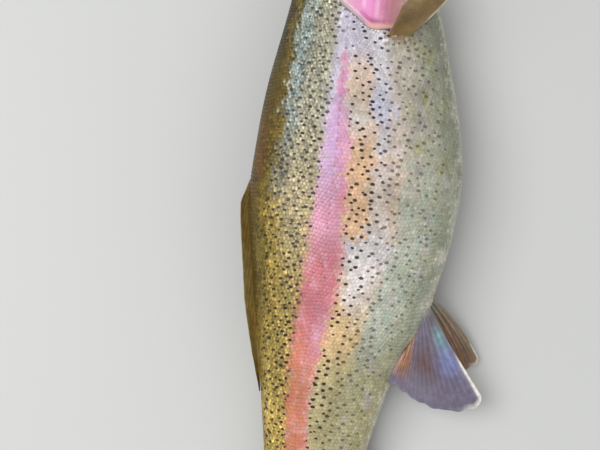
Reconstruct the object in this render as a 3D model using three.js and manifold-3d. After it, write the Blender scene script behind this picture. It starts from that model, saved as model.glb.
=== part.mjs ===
// A life-size rainbow trout, 67 cm long, lying on its left side as a caught fish lies.
// Millimetres, +Z up. +Y points to the head, +X to the belly, and the right side faces up.
// The origin is under the middle of the fish's box, on the surface that it lies on.
//
// Inside this file a place on the fish is [t, h, b]: t is the distance behind the snout,
// h the height towards the back and b the distance to the right of the middle plane.
import * as THREE from "three";
import { mergeVertices } from "three/addons/utils/BufferGeometryUtils.js";
import Module from "manifold-3d";

const wasm = await Module();
wasm.setup();

// ---------- Driving dimensions ----------
const LENGTH = 580; // snout to the root of the tail fin
const GAP = 0.35; // between two neighbouring pieces
const COVER_RISE = 0.9; // how far a gill cover stands above the flank behind it
const PLATE_DEPTH = 4; // thickness of a gill cover and of an upper jaw bone
const EYE_RADIUS = 9.4;
const EYE_DEPTH = 6; // half thickness of an eye, which is flatter than a ball
const EYE_PLACE = [41.5, 13.5]; // t and h of the eye's middle
const EYE_BULGE = 1.4; // how far the eye stands out of the cheek
const NECK = 136; // t where the head ends and the trunk begins
const TRUNK_CUTS = [232, 340, 444]; // t of the cuts that divide the trunk and the tail
const DORSAL_FIN = [244, 334, 392]; // t of its first ray, its last ray and its folded tip
const CAUDAL_ROOT = 27; // half height of the tail fin's root
const CAUDAL_LOBE = 97; // length of its longest rays
const CAUDAL_FORK = 74; // length of its middle rays
const ADIPOSE_PLACE = 467; // t of the first point of the adipose fin's root
const ADIPOSE_ROOT = 15;
const ANAL_PLACE = 428; // t of the anal fin's first ray
const ANAL_ROOT = 48;
const ANAL_REACH = [56, 27]; // length of its first and last rays
const PELVIC_ROOT = 23;
const PELVIC_REACH = [84, 38]; // of the right one
const LEFT_PELVIC_REACH = [66, 36];
const PECTORAL_REACH = [68, 36];
const FOLDED_PECTORAL_REACH = [72, 38];
const ROOT_DEPTH = 5; // how deep a fin is rooted before the body is cut out of it
const ORIGIN_X = 22.03; // from the fish's axis to the middle of its box, towards the belly
const ORIGIN_Y = -333.4; // from the snout to the middle of its box, towards the tail

// The body at each station from snout to tail fin, as shares of LENGTH:
// distance behind the snout, back, belly, half width, height of the middle plane.
const STATIONS = [
  [0.0, 0.0018, 0.0018, 0.0022, 0.043],
  [0.003, 0.0102, 0.0096, 0.0104, 0.0432],
  [0.011, 0.0205, 0.0185, 0.0185, 0.0435],
  [0.05, 0.0465, 0.0395, 0.0305, 0.0445],
  [0.1, 0.068, 0.0605, 0.0415, 0.0465],
  [0.16, 0.0852, 0.0805, 0.0505, 0.0497],
  [0.22, 0.0955, 0.0985, 0.0565, 0.0552],
  [0.3, 0.1085, 0.1215, 0.063, 0.0615],
  [0.38, 0.1152, 0.1375, 0.067, 0.0655],
  [0.45, 0.1155, 0.1355, 0.067, 0.0655],
  [0.54, 0.101, 0.119, 0.061, 0.0597],
  [0.62, 0.0858, 0.0905, 0.052, 0.051],
  [0.72, 0.0685, 0.0655, 0.0395, 0.0388],
  [0.8, 0.0565, 0.0535, 0.0305, 0.03],
  [0.88, 0.0485, 0.0465, 0.0225, 0.0223],
  [0.95, 0.0485, 0.0475, 0.0165, 0.0168],
  [1.0, 0.054, 0.053, 0.0095, 0.0125],
  [1.02, 0.052, 0.051, 0.0045, 0.0115],
];
const [BACK, BELLY, HALF, CENTRE] = [1, 2, 3, 4];

const SECTIONS = 42; // along the body
const AROUND = 28; // round each section
const SQUARENESS = 2.15; // superellipse exponent of a section
const THROAT_NARROWING = 0.16; // how much narrower the lower half of the head is

// ---------- Shape of the body ----------
// A smooth curve through one column of the stations, in millimetres.
function column(which) {
  const slope = (i) => {
    const a = STATIONS[Math.max(i - 1, 0)];
    const b = STATIONS[Math.min(i + 1, STATIONS.length - 1)];
    return (b[which] - a[which]) / (b[0] - a[0]);
  };
  return (t) => {
    const s = THREE.MathUtils.clamp(t / LENGTH, 0, STATIONS.at(-1)[0]);
    const next = Math.max(1, STATIONS.findIndex((row) => row[0] >= s));
    const [low, high] = [STATIONS[next - 1], STATIONS[next]];
    const span = high[0] - low[0];
    const x = (s - low[0]) / span;
    const rise = x * x * (3 - 2 * x);
    const value =
      low[which] * (1 - rise) +
      high[which] * rise +
      span * slope(next - 1) * x * (1 - x) ** 2 +
      span * slope(next) * x * x * (x - 1);
    return value * LENGTH;
  };
}
const [back, belly, half, centre] = [BACK, BELLY, HALF, CENTRE].map(column);

// [t, h, b] to the part's frame.
function place([t, h, b]) {
  return new THREE.Vector3(-h - ORIGIN_X, -t - ORIGIN_Y, centre(t) + b);
}

// How much narrower the section is at height share k, from -1 at the belly to 1 at the back.
function narrowing(t, k) {
  const headShare = 1 - THREE.MathUtils.smoothstep(t / LENGTH, 0.12, 0.3);
  return 1 + headShare * THROAT_NARROWING * k;
}

// The point of the section at t in direction angle: 0 is right, a quarter turn is the back.
function sectionPoint(t, angle, grow) {
  const power = 2 / SQUARENESS;
  const [c, s] = [Math.cos(angle), Math.sin(angle)];
  const k = Math.sign(s) * Math.abs(s) ** power;
  const w = Math.sign(c) * Math.abs(c) ** power;
  const h = k * ((s > 0 ? back(t) : belly(t)) + grow);
  const b = w * (half(t) + grow) * narrowing(t, k);
  return [t, h, b];
}

// How far to the right the flank is at t and h.
function flank(t, h) {
  const k = h / (h > 0 ? back(t) : belly(t));
  const share = Math.max(0, 1 - Math.abs(k) ** SQUARENESS) ** (1 / SQUARENESS);
  return half(t) * share * narrowing(t, k);
}

// A closed geometry from rings of points, with a fan over each end.
function fromRings(rings) {
  const count = rings[0].length;
  const points = rings.flat();
  const faces = [];
  for (let i = 0; i + 1 < rings.length; i++)
    for (let j = 0; j < count; j++) {
      const [a, b] = [i * count + j, i * count + ((j + 1) % count)];
      faces.push(a, b, b + count, a, b + count, a + count);
    }
  const cap = (ring, start, flipped) => {
    const middle = ring
      .reduce((sum, p) => sum.add(p), new THREE.Vector3())
      .divideScalar(count);
    points.push(middle);
    for (let j = 0; j < count; j++) {
      const [a, b] = [start + j, start + ((j + 1) % count)];
      faces.push(...(flipped ? [b, a] : [a, b]), points.length - 1);
    }
  };
  cap(rings[0], 0, true);
  cap(rings.at(-1), (rings.length - 1) * count, false);
  return new THREE.BufferGeometry().setFromPoints(points).setIndex(faces);
}

// The whole body, grown by some millimetres all round and pressed flat where it lies.
function body(grow) {
  const end = STATIONS.at(-1)[0] * LENGTH + grow;
  const rings = [];
  for (let i = 0; i <= SECTIONS; i++) {
    const x = i / SECTIONS;
    const t = end * x ** 1.55 - grow * (1 - x);
    const ring = [];
    for (let j = 0; j < AROUND; j++) {
      const p = place(sectionPoint(t, (2 * Math.PI * j) / AROUND, grow));
      p.z = Math.max(p.z, 0);
      ring.push(p);
    }
    rings.push(ring);
  }
  return solid(fromRings(rings));
}

// ---------- Solids ----------
function solid(geometry) {
  const bare = geometry.clone();
  bare.deleteAttribute("normal");
  bare.deleteAttribute("uv");
  const merged = mergeVertices(bare, 1e-4);
  const made = new wasm.Manifold(
    new wasm.Mesh({
      numProp: 3,
      vertProperties: merged.attributes.position.array,
      triVerts: new Uint32Array(merged.index.array),
    }),
  );
  if (made.volume() < 0) throw new Error("a solid is inside out");
  return made;
}

// A prism through the fish from b = low to b = high, over a smooth outline of [t, h] points.
function prism(outline, low, high, spread = 0) {
  const corners = outline.map(([t, h]) => new THREE.Vector2(-h - ORIGIN_X, -t - ORIGIN_Y));
  const middle = corners
    .reduce((sum, p) => sum.add(p), new THREE.Vector2())
    .divideScalar(corners.length);
  for (const p of corners) {
    const away = p.clone().sub(middle);
    p.add(away.setLength(spread));
  }
  const rim = new THREE.SplineCurve([...corners, corners[0]]).getPoints(corners.length * 2);
  const geometry = new THREE.ExtrudeGeometry(new THREE.Shape(rim.slice(0, -1)), {
    depth: high - low,
    bevelEnabled: false,
    steps: 1,
  });
  return solid(geometry.translate(0, 0, MIDDLE_OF_HEAD + low));
}
const MIDDLE_OF_HEAD = centre(0.13 * LENGTH);

// The stretch of a solid from t = start to t = end.
function stretch(from, start, end) {
  return from
    .trimByPlane([0, -1, 0], start + ORIGIN_Y)
    .trimByPlane([0, 1, 0], -end - ORIGIN_Y);
}

// ---------- Fins ----------
// A fan of rays. u runs from the leading ray, 0, to the last, 1, and r from root to tip.
// root, lead and last are [t, h, b]; reach gives a ray's length and cup bends the blade.
function fin({ root, lead, last, reach, thick, cup = () => 0, across = 10, out = 4 }) {
  const from = root.map((p) => new THREE.Vector3(...p));
  const first = new THREE.Vector3(...lead).normalize();
  const final = new THREE.Vector3(...last).normalize();
  const chord = from[1].clone().sub(from[0]);
  chord.addScaledVector(final, 0.6 * reach(1)).addScaledVector(first, -0.6 * reach(0));
  const face = first.clone().add(final).cross(chord).normalize();
  const side = (which) => {
    const rows = [];
    for (let i = 0; i <= across; i++) {
      const u = i / across;
      const ray = first.clone().lerp(final, u).normalize();
      const row = [];
      for (let j = 0; j <= out; j++) {
        const r = j / out;
        const p = from[0].clone().lerp(from[1], u);
        p.addScaledVector(ray, r * (reach(u) + ROOT_DEPTH) - ROOT_DEPTH);
        const edge = Math.min(1, 6 * u, 6 * (1 - u)) * 0.35 + 0.65;
        const t = THREE.MathUtils.lerp(thick[0], thick[1], r ** 0.6) * edge;
        p.addScaledVector(face, cup(u, r) + (which * t) / 2);
        row.push(place(p.toArray()));
      }
      rows.push(row);
    }
    return rows;
  };
  return shell(side(1), side(-1));
}

// A closed solid between two grids of points.
function shell(top, bottom) {
  const [rows, columns] = [top.length, top[0].length];
  const points = [...top.flat(), ...bottom.flat()];
  const under = rows * columns;
  const faces = [];
  const quad = (a, b, c, d) => faces.push(a, b, c, a, c, d);
  for (let i = 0; i + 1 < rows; i++)
    for (let j = 0; j + 1 < columns; j++) {
      const a = i * columns + j;
      quad(a, a + columns, a + columns + 1, a + 1);
      quad(under + a, under + a + 1, under + a + columns + 1, under + a + columns);
    }
  const rim = [];
  for (let j = 0; j < columns; j++) rim.push(j);
  for (let i = 1; i < rows; i++) rim.push(i * columns + columns - 1);
  for (let j = columns - 2; j >= 0; j--) rim.push((rows - 1) * columns + j);
  for (let i = rows - 2; i > 0; i--) rim.push(i * columns);
  rim.forEach((a, k) => {
    const b = rim[(k + 1) % rim.length];
    quad(a, b, under + b, under + a);
  });
  const geometry = new THREE.BufferGeometry().setFromPoints(points).setIndex(faces);
  try {
    return solid(geometry);
  } catch {
    const turned = [];
    for (let i = 0; i < faces.length; i += 3)
      turned.push(faces[i], faces[i + 2], faces[i + 1]);
    return solid(geometry.setIndex(turned));
  }
}

// A smooth fall from a to b as x goes from 0 to 1.
const fall = (a, b, x) => a + (b - a) * x * x * (3 - 2 * x);

// The folded dorsal fin: its rays lie back along the back, so it is a low strip.
const DORSAL_RISE = [ // t, and how far the folded fin stands out of the back
  [244, 0.4], [252, 2.6], [261, 5.4], [294, 5.7], [328, 6.5], [345, 5.7], [363, 4.3],
  [380, 2.2], [392, 0.7],
];
function dorsalHeight(t) {
  const next = THREE.MathUtils.clamp(
    DORSAL_RISE.findIndex(([at]) => at >= t), 1, DORSAL_RISE.length - 1);
  const [[t0, low], [t1, high]] = DORSAL_RISE.slice(next - 1, next + 1);
  return THREE.MathUtils.mapLinear(THREE.MathUtils.clamp(t, t0, t1), t0, t1, low, high);
}

function dorsalFin() {
  const [start, end, tip] = DORSAL_FIN;
  const top = [];
  const bottom = [];
  for (let i = 0; i <= 16; i++) {
    const x = i / 16;
    const t = fall(start, tip, x * 0.5 + x * x * 0.5);
    const along = (t - start) / (tip - start);
    const height = dorsalHeight(t);
    const under = t < end ? -4 : THREE.MathUtils.lerp(0.6, 1.2, (t - end) / (tip - end));
    const [upper, lower] = [[], []];
    for (let j = 0; j <= 4; j++) {
      const r = j / 4;
      const h = back(t) + under + (Math.max(height, under + 0.8) - under) * r;
      const lean = 6.5 * r * r * Math.min(1, along / 0.1);
      const t2 = THREE.MathUtils.lerp(3.2, 1.1, r);
      upper.push(place([t, h, lean + t2 / 2]));
      lower.push(place([t, h, lean - t2 / 2]));
    }
    top.push(upper);
    bottom.push(lower);
  }
  return shell(top, bottom);
}

function adiposeFin() {
  const [start, end] = [ADIPOSE_PLACE, ADIPOSE_PLACE + ADIPOSE_ROOT];
  return fin({
    root: [[start, back(start), 0], [end, back(end), 0]],
    lead: [0.75, 0.66, 0],
    last: [0.95, 0.3, 0],
    reach: (u) => fall(19, 9, u) + 3 * Math.sin(Math.PI * u),
    thick: [3.4, 1.8],
    across: 8,
  });
}

function caudalFin() {
  const t = LENGTH + 1;
  const [lobe, fork] = [CAUDAL_LOBE, CAUDAL_FORK];
  const rounding = (u) => 110 * Math.max(0, Math.abs(2 * u - 1) - 0.8) ** 1.5;
  return fin({
    root: [[t, CAUDAL_ROOT, 0], [t, -CAUDAL_ROOT, 0]],
    lead: [0.935, 0.355, 0],
    last: [0.935, -0.355, 0],
    reach: (u) => fork + (lobe - fork) * Math.abs(2 * u - 1) ** 1.7 - rounding(u),
    thick: [6, 1.1],
    cup: (u, r) => -0.9 * r,
    across: 20,
    out: 5,
  });
}

function analFin() {
  const [start, end] = [ANAL_PLACE, ANAL_PLACE + ANAL_ROOT];
  return fin({
    root: [[start, -belly(start), 0], [end, -belly(end), 0]],
    lead: [0.74, -0.67, -0.08],
    last: [0.93, -0.36, -0.08],
    reach: (u) => fall(...ANAL_REACH, u ** 0.8),
    thick: [3.6, 0.9],
  });
}

// side is 1 for the right fin, which droops, and -1 for the left, which lies on the floor.
function pelvicFin(side) {
  const start = side > 0 ? 317 : 310;
  const root = [start, start + PELVIC_ROOT].map((t) => {
    const low = -belly(t) * 0.965;
    return [t, low, side * flank(t, low)];
  });
  return fin({
    root,
    lead: side > 0 ? [0.784, -0.603, -0.15] : [0.69, -0.7, -0.19],
    last: side > 0 ? [0.91, 0.4, 0.12] : [0.97, -0.12, -0.14],
    reach: (u) => fall(...(side > 0 ? PELVIC_REACH : LEFT_PELVIC_REACH), u ** 0.9),
    thick: [3.2, 0.9],
    across: 12,
  });
}

// The right fin is raised and turned forward; the left is folded back under the fish.
function pectoralFin(side) {
  const root = [[138, -28], [139, -15]].map(([t, h]) => [t, h, side * (flank(t, h) - 1)]);
  return side > 0
    ? fin({
        root,
        lead: [-0.58, -0.55, 0.62],
        last: [-0.44, -0.2, 0.86],
        reach: (u) => fall(...PECTORAL_REACH, u) + 5 * Math.sin(Math.PI * u),
        cup: (u, r) => 3.5 * r * Math.sin(Math.PI * u) + 3 * r * r,
        thick: [3.2, 0.9],
        across: 12,
      })
    : fin({
        root: [[136, -33, -26.2], [128, -45, -20.5]],
        lead: [0.93, -0.325, -0.045],
        last: [0.72, -0.69, -0.05],
        reach: (u) => fall(...FOLDED_PECTORAL_REACH, u),
        thick: [1.8, 0.9],
      });
}

// ---------- Head ----------
const GILL_COVER = [
  [88, 30], [107, 27], [119, 19], [126, 7], [133, -1], [133.5, -13], [128, -29],
  [112, -42], [90, -44], [80, -34], [79, -10], [80, 14],
];
const UPPER_JAW = [
  [7, 2.5], [20, 1.5], [36, -3.5], [52, -8.5], [63, -14], [65, -20],
  [59, -22.5], [45, -17], [28, -9], [12, -3.5],
];
const LOWER_JAW = [
  [-6, -2], [8, -4.6], [26, -10.5], [44, -18.5], [58, -24.5], [64, -32],
  [58, -50], [20, -46], [-8, -24],
];

function eye(side, grow = 0) {
  const [t, h] = EYE_PLACE;
  const middle = place([t, h, side * (flank(t, h) + EYE_BULGE - EYE_DEPTH)]);
  const ball = new THREE.SphereGeometry(1, 16, 8);
  ball.rotateX(Math.PI / 2);
  ball.scale(EYE_RADIUS + grow, EYE_RADIUS + grow, EYE_DEPTH + grow);
  const turned = new THREE.Euler(0, side * 0.32, 0);
  ball.applyMatrix4(new THREE.Matrix4().makeRotationFromEuler(turned));
  ball.translate(middle.x, middle.y, middle.z);
  return solid(ball);
}

// Cuts the head into skull, lower jaw, upper jaw bones, gill covers and eyes.
function headPieces(whole) {
  const pieces = {};
  const raised = body(COVER_RISE);
  const inner = body(-PLATE_DEPTH);
  const deeper = body(-PLATE_DEPTH - GAP);
  let skull = stretch(whole, -5, NECK);
  const jaw = prism(LOWER_JAW, -40, 40);
  pieces.lower_jaw = skull.intersect(jaw);
  skull = skull.subtract(jaw.add(jaw.translate([-GAP, 0, 0])));
  for (const [word, side] of [["right", 1], ["left", -1]]) {
    const [low, high] = side > 0 ? [3, 60] : [-60, -3];
    const ball = eye(side);
    pieces[`eye_${word}`] = ball;
    skull = skull.subtract(eye(side, GAP));
    for (const [name, outline, skin] of [
      ["gill_cover", GILL_COVER, raised],
      ["upper_jaw_bone", UPPER_JAW, whole],
    ]) {
      pieces[`${name}_${word}`] = skin.intersect(prism(outline, low, high)).subtract(inner);
      skull = skull.subtract(prism(outline, low, high, GAP).subtract(deeper));
    }
  }
  pieces.head = skull;
  return pieces;
}

// ---------- The fish ----------
const FINISH = {
  back: { color: 0x6b6238, roughness: 0.35 },
  flank: { color: 0xb9ab8e, roughness: 0.3 },
  cheek: { color: 0xd193ad, roughness: 0.25 },
  jaw: { color: 0xa39c80, roughness: 0.35 },
  fin: { color: 0x8f7f6a, roughness: 0.4 },
  eye: { color: 0x1c1710, roughness: 0.1 },
};

function mesh(name, made, finish) {
  const { numProp, vertProperties, triVerts } = made.getMesh();
  const places = new Float32Array((vertProperties.length / numProp) * 3);
  for (let i = 0; i * numProp < vertProperties.length; i++)
    places.set(vertProperties.subarray(i * numProp, i * numProp + 3), i * 3);
  const geometry = new THREE.BufferGeometry()
    .setAttribute("position", new THREE.BufferAttribute(places, 3))
    .setIndex(new THREE.BufferAttribute(triVerts, 1));
  geometry.computeVertexNormals();
  const material = new THREE.MeshStandardMaterial({ metalness: 0, ...FINISH[finish] });
  const made3d = new THREE.Mesh(geometry, material);
  made3d.name = name;
  return made3d;
}

function trout() {
  const fish = new THREE.Group();
  const whole = body(0);
  const clearance = body(GAP);
  const head = headPieces(whole);
  for (const [name, made] of Object.entries(head)) {
    const finish = name.startsWith("eye") ? "eye" : name.startsWith("gill") ? "cheek" : "jaw";
    fish.add(mesh(name, made, name === "head" ? "back" : finish));
  }

  const cuts = [NECK, ...TRUNK_CUTS, 1.1 * LENGTH];
  ["trunk_front", "trunk_middle", "trunk_rear", "tail"].forEach((name, i) => {
    fish.add(mesh(name, stretch(whole, cuts[i] + GAP, cuts[i + 1]), "flank"));
  });

  const fins = {
    dorsal_fin: dorsalFin(),
    adipose_fin: adiposeFin(),
    caudal_fin: caudalFin(),
    anal_fin: analFin(),
    pelvic_fin_right: pelvicFin(1),
    pelvic_fin_left: pelvicFin(-1),
    pectoral_fin_right: pectoralFin(1),
    pectoral_fin_left: pectoralFin(-1),
  };
  for (const [name, made] of Object.entries(fins)) {
    fish.add(mesh(name, made.subtract(clearance), "fin"));
  }
  return fish;
}

export default trout();
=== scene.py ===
"""A life-size rainbow trout lying on its left side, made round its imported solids.

Lengths are in millimetres until a mesh is made. A place on the fish is (t, h, b): t behind
the snout, h towards the back and b to the right of the middle plane. An angle round a
section is 0 at the middle of the right side and a quarter turn at the back.
"""
import math

import bpy
import numpy as np
from mathutils import Matrix, Vector


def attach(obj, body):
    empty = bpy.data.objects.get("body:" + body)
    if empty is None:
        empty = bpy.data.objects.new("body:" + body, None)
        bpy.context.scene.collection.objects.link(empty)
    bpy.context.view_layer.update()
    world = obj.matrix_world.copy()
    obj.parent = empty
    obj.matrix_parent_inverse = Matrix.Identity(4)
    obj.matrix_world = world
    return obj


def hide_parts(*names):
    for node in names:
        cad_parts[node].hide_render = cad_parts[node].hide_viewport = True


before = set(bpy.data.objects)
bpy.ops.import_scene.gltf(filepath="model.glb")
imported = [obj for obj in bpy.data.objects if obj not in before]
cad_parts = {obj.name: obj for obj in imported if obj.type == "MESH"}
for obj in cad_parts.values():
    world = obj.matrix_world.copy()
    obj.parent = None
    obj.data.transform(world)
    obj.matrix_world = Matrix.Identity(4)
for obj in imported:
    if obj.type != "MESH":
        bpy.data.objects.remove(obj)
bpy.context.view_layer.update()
rng = np.random.default_rng(7)
scene = bpy.context.scene

# ---------- The body's shape, as in the solids ----------
LENGTH = 580.0  # snout to the root of the tail fin
SKIN_END = 592.0  # the skin runs on a little way into the tail fin
ORIGIN_X, ORIGIN_Y = 22.03, -333.4  # of the row frame, from the snout
SQUARENESS = 2.15
THROAT_NARROWING = 0.16
SKIN_DEPTH = 0.5  # from the solids' surface down to the skin
LOWEST = 0.35  # height of the skin where it is pressed on the floor
FLOOR_BEND = 0.3  # square millimetres: how softly the skin bends to lie on the floor
# share of LENGTH behind the snout, back, belly, half width, height of the middle plane
STATIONS = np.array([
    [0.0, 0.0018, 0.0018, 0.0022, 0.043],
    [0.003, 0.0102, 0.0096, 0.0104, 0.0432],
    [0.011, 0.0205, 0.0185, 0.0185, 0.0435],
    [0.05, 0.0465, 0.0395, 0.0305, 0.0445],
    [0.1, 0.068, 0.0605, 0.0415, 0.0465],
    [0.16, 0.0852, 0.0805, 0.0505, 0.0497],
    [0.22, 0.0955, 0.0985, 0.0565, 0.0552],
    [0.3, 0.1085, 0.1215, 0.063, 0.0615],
    [0.38, 0.1152, 0.1375, 0.067, 0.0655],
    [0.45, 0.1155, 0.1355, 0.067, 0.0655],
    [0.54, 0.101, 0.119, 0.061, 0.0597],
    [0.62, 0.0858, 0.0905, 0.052, 0.051],
    [0.72, 0.0685, 0.0655, 0.0395, 0.0388],
    [0.8, 0.0565, 0.0535, 0.0305, 0.03],
    [0.88, 0.0485, 0.0465, 0.0225, 0.0223],
    [0.95, 0.0485, 0.0475, 0.0165, 0.0168],
    [1.0, 0.054, 0.053, 0.0095, 0.0125],
    [1.02, 0.052, 0.051, 0.0045, 0.0115],
])
EYE_T, EYE_H, EYE_RADIUS, EYE_DEPTH, EYE_BULGE = 41.5, 13.5, 9.4, 6.0, 1.4
EYE_LEAN = 0.32  # radians that an eye is turned up with the cheek
SIDES = (("right", 1), ("left", -1))

# t and h of both ends of the paired fins' roots
PECTORAL_RIGHT = ((138, -28), (139, -15))
PECTORAL_LEFT = ((136, -33), (128, -45))
PELVIC_RIGHT, PELVIC_LEFT = (317, 340), (310, 333)  # t only
ADIPOSE_T, ANAL_T = 0.805 * LENGTH, 0.738 * LENGTH
CAUDAL_T, CAUDAL_ROOT = 581, 27.0  # place and half height of the tail fin's root


def smooth(low, high, x):
    """0 at low and before it, 1 at high and after it; low may be the larger."""
    f = np.clip((x - low) / (high - low), 0, 1)
    return f * f * (3 - 2 * f)


def within(x, start, full, end, gone):
    """0 outside start..gone and 1 in full..end."""
    return smooth(start, full, x) * smooth(gone, end, x)


def mix(a, b, f):
    return a + (b - a) * f


def straight(x, y):
    """Straight lines through the points (x, y)."""
    return lambda where: np.interp(where, x, y)


def through(x, y):
    """A smooth curve through the points (x, y)."""
    x, y = np.array(x, float), np.array(y, float)
    slope = np.empty_like(x)
    slope[1:-1] = (y[2:] - y[:-2]) / (x[2:] - x[:-2])
    slope[0] = (y[1] - y[0]) / (x[1] - x[0])
    slope[-1] = (y[-1] - y[-2]) / (x[-1] - x[-2])

    def at(where):
        s = np.clip(np.asarray(where, float), x[0], x[-1])
        i = np.clip(np.searchsorted(x, s), 1, len(x) - 1)
        span = x[i] - x[i - 1]
        f = (s - x[i - 1]) / span
        value = mix(y[i - 1], y[i], smooth(0, 1, f))
        value += span * slope[i - 1] * f * (1 - f) ** 2
        value += span * slope[i] * f * f * (f - 1)
        return value

    return at


back, belly, half, centre = [
    through(STATIONS[:, 0] * LENGTH, STATIONS[:, i] * LENGTH) for i in (1, 2, 3, 4)]


def bump(x, middle, width):
    return np.exp(-(((x - middle) / width) ** 2))


def to_segment(t, h, start, end):
    """Distance to the straight line from start to end, both given as t and h."""
    (t0, h0), (t1, h1) = start, end
    long, tall = t1 - t0, h1 - h0
    f = np.clip(((t - t0) * long + (h - h0) * tall) / max(long**2 + tall**2, 1e-9), 0, 1)
    return np.hypot(t - t0 - f * long, h - h0 - f * tall)


def together(*coordinates):
    """Points from their separate coordinates, some of which may be single numbers."""
    return np.stack(np.broadcast_arrays(*coordinates), -1)


def unit(v):
    return v / np.maximum(np.linalg.norm(v, axis=-1, keepdims=True), 1e-9)


def outward(normal, direction):
    """The normals, turned where they look against the directions."""
    return normal * np.sign((normal * direction).sum(-1, keepdims=True))


def mottle(t, h, size, seed):
    """A smooth pattern of patches about size across, mostly between -1 and 1."""
    total = 0
    for k in range(6):
        turn = 2.4 * k + seed
        wave = 2 * math.pi / size * (0.6 + 0.14 * k)
        along = t * math.cos(turn) + h * math.sin(turn)
        aside = h * math.cos(turn) - t * math.sin(turn)
        bent = 1.4 * np.sin(0.43 * wave * aside + k)
        total = total + np.sin(wave * along + 1.7 * seed * k + bent)
    return total / 2.4


def narrowing(t, k):
    """The head's width over a plain oval's, where k is 1 at the back and -1 at the belly."""
    return 1 + smooth(0.3, 0.12, t / LENGTH) * THROAT_NARROWING * k


def section(t, angle):
    """h and b of the skin at t in direction angle."""
    s, c = np.sin(angle), np.cos(angle)
    k = np.sign(s) * np.abs(s) ** (2 / SQUARENESS)
    w = np.sign(c) * np.abs(c) ** (2 / SQUARENESS)
    h = k * (np.where(s > 0, back(t), belly(t)) - SKIN_DEPTH)
    return h, w * (half(t) - SKIN_DEPTH) * narrowing(t, k)


def flank(t, h):
    """b of the solids' right side at height h."""
    k = np.clip(h / np.where(h > 0, back(t), belly(t)), -1, 1)
    return half(t) * (1 - np.abs(k) ** SQUARENESS) ** (1 / SQUARENESS) * narrowing(t, k)


def place(t, h, b):
    """(t, h, b) in the row frame, lifted smoothly off the floor where it would go below."""
    z = centre(t) + b - LOWEST
    z = 0.5 * (z + np.sqrt(z * z + FLOOR_BEND)) + LOWEST
    return together(-h - ORIGIN_X, -t - ORIGIN_Y, z)


def table(x, y, values):
    """Values on the regular grid of x and y, read between its points."""

    def at(here_x, here_y):
        column = np.clip((here_x - x[0]) / (x[1] - x[0]), 0, len(x) - 1.001)
        row = np.clip((here_y - y[0]) / (y[1] - y[0]), 0, len(y) - 1.001)
        i, j = column.astype(int), row.astype(int)
        near = mix(values[i, j], values[i, j + 1], row - j)
        far = mix(values[i + 1, j], values[i + 1, j + 1], row - j)
        return mix(near, far, column - i)

    return at


# Height h of the lateral line along the body.
line_height = straight(
    [0, 60, 110, 190, 213, 250, 282, 315, 348, 380, 400, 440, 490, 550, 592],
    [14, 13.2, 12.5, 12, 11.2, 11.3, 10.8, 12, 15, 17.5, 17.2, 14, 8.5, 3, 1])

# Girth: millimetres round the body from the lateral line, positive towards the back. It is
# worked out on a grid of t and angle, and turned back into an angle by a second table.
ts = np.arange(0, SKIN_END + 1, 2.0)
angles = np.radians(np.arange(-90, 90.5, 1.0))
grid_t, grid_a = np.meshgrid(ts, angles, indexing="ij")
grid_h, grid_b = section(grid_t, grid_a)
step = np.hypot(np.diff(grid_h, axis=1), np.diff(grid_b, axis=1))
girths = np.concatenate([np.zeros((len(ts), 1)), np.cumsum(step, axis=1)], axis=1)
on_line = [np.interp(line_height(t), grid_h[i], girths[i]) for i, t in enumerate(ts)]
girths -= np.array(on_line)[:, None]
girth_at = table(ts, angles, girths)
up_all, down_all = girths[:, -1], -girths[:, 0]
girth_up, girth_down = straight(ts, up_all), straight(ts, down_all)
shares = np.linspace(-1, 1, 241)
wanted = np.where(shares > 0, shares * up_all[:, None], shares * down_all[:, None])
angle_at = table(ts, shares, np.array([np.interp(w, g, angles) for w, g in zip(wanted, girths)]))


def girth_share(t, girth):
    """Share of the way round from the lateral line to the back, or down to -1 at the belly."""
    return girth / np.where(girth > 0, girth_up(t), girth_down(t))


def angle_of(t, girth):
    return angle_at(t, np.clip(girth_share(t, girth), -1, 1))


# The rear edge of the gill covers: t over the angle, from under the throat to its top.
EDGE_ANGLE = np.radians([-90, -78, -62, -48, -34, -22, -11, -2, 3, 10, 19, 27, 36, 60, 90])
EDGE_T = [80, 89, 102, 115, 125.5, 131.5, 134, 134.5, 130.5, 125, 118.5, 109, 101, 97, 96]
EDGE_ROW = 115.0  # the row of the skin's grid that follows the edge
edge_curve = through(EDGE_ANGLE, EDGE_T)


def upright(angle):
    """The angle on the right side at the same height."""
    return np.arcsin(np.clip(np.sin(angle), -1, 1))


def cover_edge(angle):
    return edge_curve(upright(angle))


# ---------- Colours ----------
def rgb(red, green, blue):
    """A colour in Blender's own linear values from screen values of 0 to 255."""
    c = np.array([red, green, blue]) / 255
    return np.where(c <= 0.04045, c / 12.92, ((c + 0.055) / 1.055) ** 2.4)


def blend(base, colour, amount):
    return base + (colour - base) * np.asarray(amount)[..., None]


def paint(base, *layers):
    """base under layers, each a colour and how much of it there is."""
    for colour, amount in layers:
        base = blend(base, colour, amount)
    return base


def lit(colour, factor):
    return colour * factor[..., None]


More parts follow.
